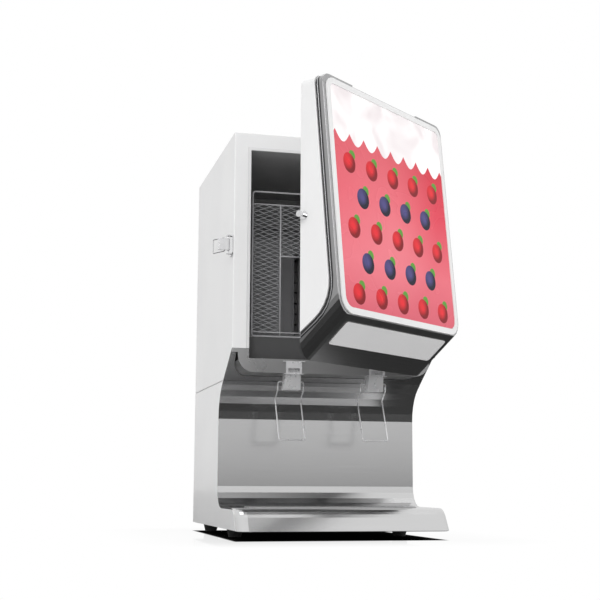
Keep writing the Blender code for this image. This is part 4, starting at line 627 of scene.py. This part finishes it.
bead_width, bead_depth, bead_slope, bead_inset = 0.0018, 0.0170, radians(35.5), 0.0023
low_bend, top_bend, shell_rear_z, band_rear_z = 0.046, 0.020, 0.378, 0.365
bead_reach, band_top, low_z = half_door - bead_inset, door_top - bead_inset, (shell_rear_z + band_rear_z) / 2
fold_z = ((low_z + tan(bead_slope) * (-door_gap - door_front(0) - bead_depth / cos(lean)))
          / (1 + tan(bead_slope) * tan(lean)))
bead_back = bead_depth / cos(lean)
bead_path = [(-door_gap - 0.002, low_z), (door_front(fold_z) + bead_back, fold_z),
             (door_front(band_top) + bead_back, band_top)]
arm_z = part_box("upper_hinge_bracket")[0][2] - 0.006
free_side = [(-bead_reach, y, z) for y, z in bead_path] + [(0.110, *bead_path[-1])]
hinge_side = [(bead_reach, y, z) for y, z in bead_path[:2]]
hinge_side.append((bead_reach, door_front(arm_z) + bead_back, arm_z))
bead_clear = lacquered("bead_lens", (0.42, 0.42, 0.43), (0.50, 0.50, 0.51), 0.25, 1500.0, 0.4)
bead = gathered([rod(free_side, bead_width, False, 3, [0, low_bend, top_bend, 0], hung),
                 rod(hinge_side, bead_width, False, 3, [0, low_bend, 0], hung)])
as_piece("door_bead", bead, bead_clear, "door")


# Display print
# The acrylic sheet carries a plain repeat in reverse print, lit from behind: staggered rows of
# cherries and plums with leaves, on a red to pink ground with a scalloped cream edge at its head.
disc, given, result = shader_group(
    "round_fruit", {"Vector": ("Vector", None), "Centre": ("Vector", (0, 0, 0)), "Radius": ("Float", 0.02)},
    {"Mask": "Float", "Shade": "Float", "Gleam": "Float"})
offset = vector_maths(disc, "SUBTRACT", given["Vector"], given["Centre"])
flat = vector_maths(disc, "MULTIPLY", offset, (1, 1, 0))
reach = vector_maths(disc, "LENGTH", flat)
part = maths(disc, "DIVIDE", reach, given["Radius"])
mask = put(disc, "ShaderNodeMapRange", {"Value": part, "From Min": 1.0, "From Max": 0.97}).outputs[0]
tilted = vector_maths(disc, "DOT_PRODUCT", flat, (-0.35, 0.35, 0))
tilt = maths(disc, "DIVIDE", tilted, given["Radius"])
shade = maths(disc, "MULTIPLY_ADD", part, -0.75, 0.85)
shade = maths(disc, "ADD", shade, tilt)
gleam = put(disc, "ShaderNodeMapRange", {"Value": shade, "From Min": 0.88, "From Max": 1.05}).outputs[0]
disc.links.new(mask, result["Mask"])
disc.links.new(shade, result["Shade"])
disc.links.new(gleam, result["Gleam"])

printed, tree, shader, where = material("display_print")
spot, spin, _ = face.decompose()
where = put(tree, "ShaderNodeMapping", {"Vector": where, "Location": spot, "Rotation": spin.to_euler()},
            vector_type="TEXTURE").outputs[0]
parts = put(tree, "ShaderNodeSeparateXYZ", {"Vector": where})
u, v = parts.outputs["X"], parts.outputs["Y"]


def layer(tree, under, over, mask):
    """One print colour over another where a mask is 1."""
    return put(tree, "ShaderNodeMix", {"Factor": mask, 6: under, 7: over}, data_type="RGBA").outputs[2]


def between(tree, value, start, end):
    """0 at start, 1 at end, held outside them."""
    return put(tree, "ShaderNodeMapRange", {"Value": value, "From Min": start, "From Max": end}).outputs[0]


climb = between(tree, v, 0.0, 0.43)
ground_tone = ramp(tree, climb, [
    (0.0, (0.62, 0.11, 0.15)), (0.25, (0.74, 0.15, 0.19)), (0.55, (0.68, 0.055, 0.09)),
    (1.0, (0.50, 0.008, 0.022))])
halo = use(tree, disc, {"Vector": where, "Centre": (0, 0.17, 0), "Radius": 0.19})
soft = maths(tree, "MULTIPLY", halo["Shade"], 0.45, use_clamp=True)
picture = layer(tree, ground_tone, (0.88, 0.33, 0.37, 1), soft)
ripple = put(tree, "ShaderNodeTexNoise",
             {"Vector": where, "Scale": 9.0, "Detail": 1.5, "Distortion": 1.4}).outputs["Fac"]
scallop_width, scallop_drop, edge_low = 0.0475, 0.020, 0.345
swing = maths(tree, "SINE", maths(tree, "MULTIPLY", u, pi / scallop_width))
crest = maths(tree, "MULTIPLY_ADD", maths(tree, "ABSOLUTE", swing), -scallop_drop, edge_low)
head = between(tree, maths(tree, "SUBTRACT", v, crest), 0.0, 0.0008)
cream = ramp(tree, ripple, [(0.35, (0.80, 0.74, 0.75)), (0.55, (0.93, 0.90, 0.90))])
picture = layer(tree, picture, cream, head)
radius, column_step, row_step, first_row, row_count, row_fruit = 0.020, 0.075, 0.062, 0.040, 5, 5
tones = {"cherry": [(0.1, (0.20, 0.004, 0.008)), (0.75, (0.72, 0.02, 0.03))],
         "plum": [(0.1, (0.006, 0.006, 0.02)), (0.75, (0.07, 0.06, 0.20))]}
for row in range(row_count):
    kind, count = ("cherry", "plum")[row % 2], row_fruit - row % 2
    y = first_row + row * row_step
    for column in range(count):
        x = (column - (count - 1) / 2) * column_step
        leaf_middle = (x + radius * 0.55, y + radius * 0.85, 0)
        leaf = use(tree, disc, {"Vector": where, "Centre": leaf_middle, "Radius": radius * 0.5})
        picture = layer(tree, picture, (0.10, 0.30, 0.04, 1), leaf["Mask"])
        ball = use(tree, disc, {"Vector": where, "Centre": (x, y, 0), "Radius": radius})
        picture = layer(tree, picture, ramp(tree, ball["Shade"], tones[kind]), ball["Mask"])
        picture = layer(tree, picture, (1, 0.92, 0.92, 1), ball["Gleam"])
tree.links.new(picture, shader.inputs["Base Color"])
tree.links.new(picture, shader.inputs["Emission Color"])
shader.inputs["Emission Strength"].default_value = 0.16
shader.inputs["Specular IOR Level"].default_value = 0.15
shader.inputs["Coat Weight"].default_value = 0.05
shader.inputs["Coat Roughness"].default_value = 0.08
tree.links.new(ramp(tree, ripple, [(0.3, 0.22), (0.7, 0.30)]), shader.inputs["Roughness"])
dress(["display_print"], printed)
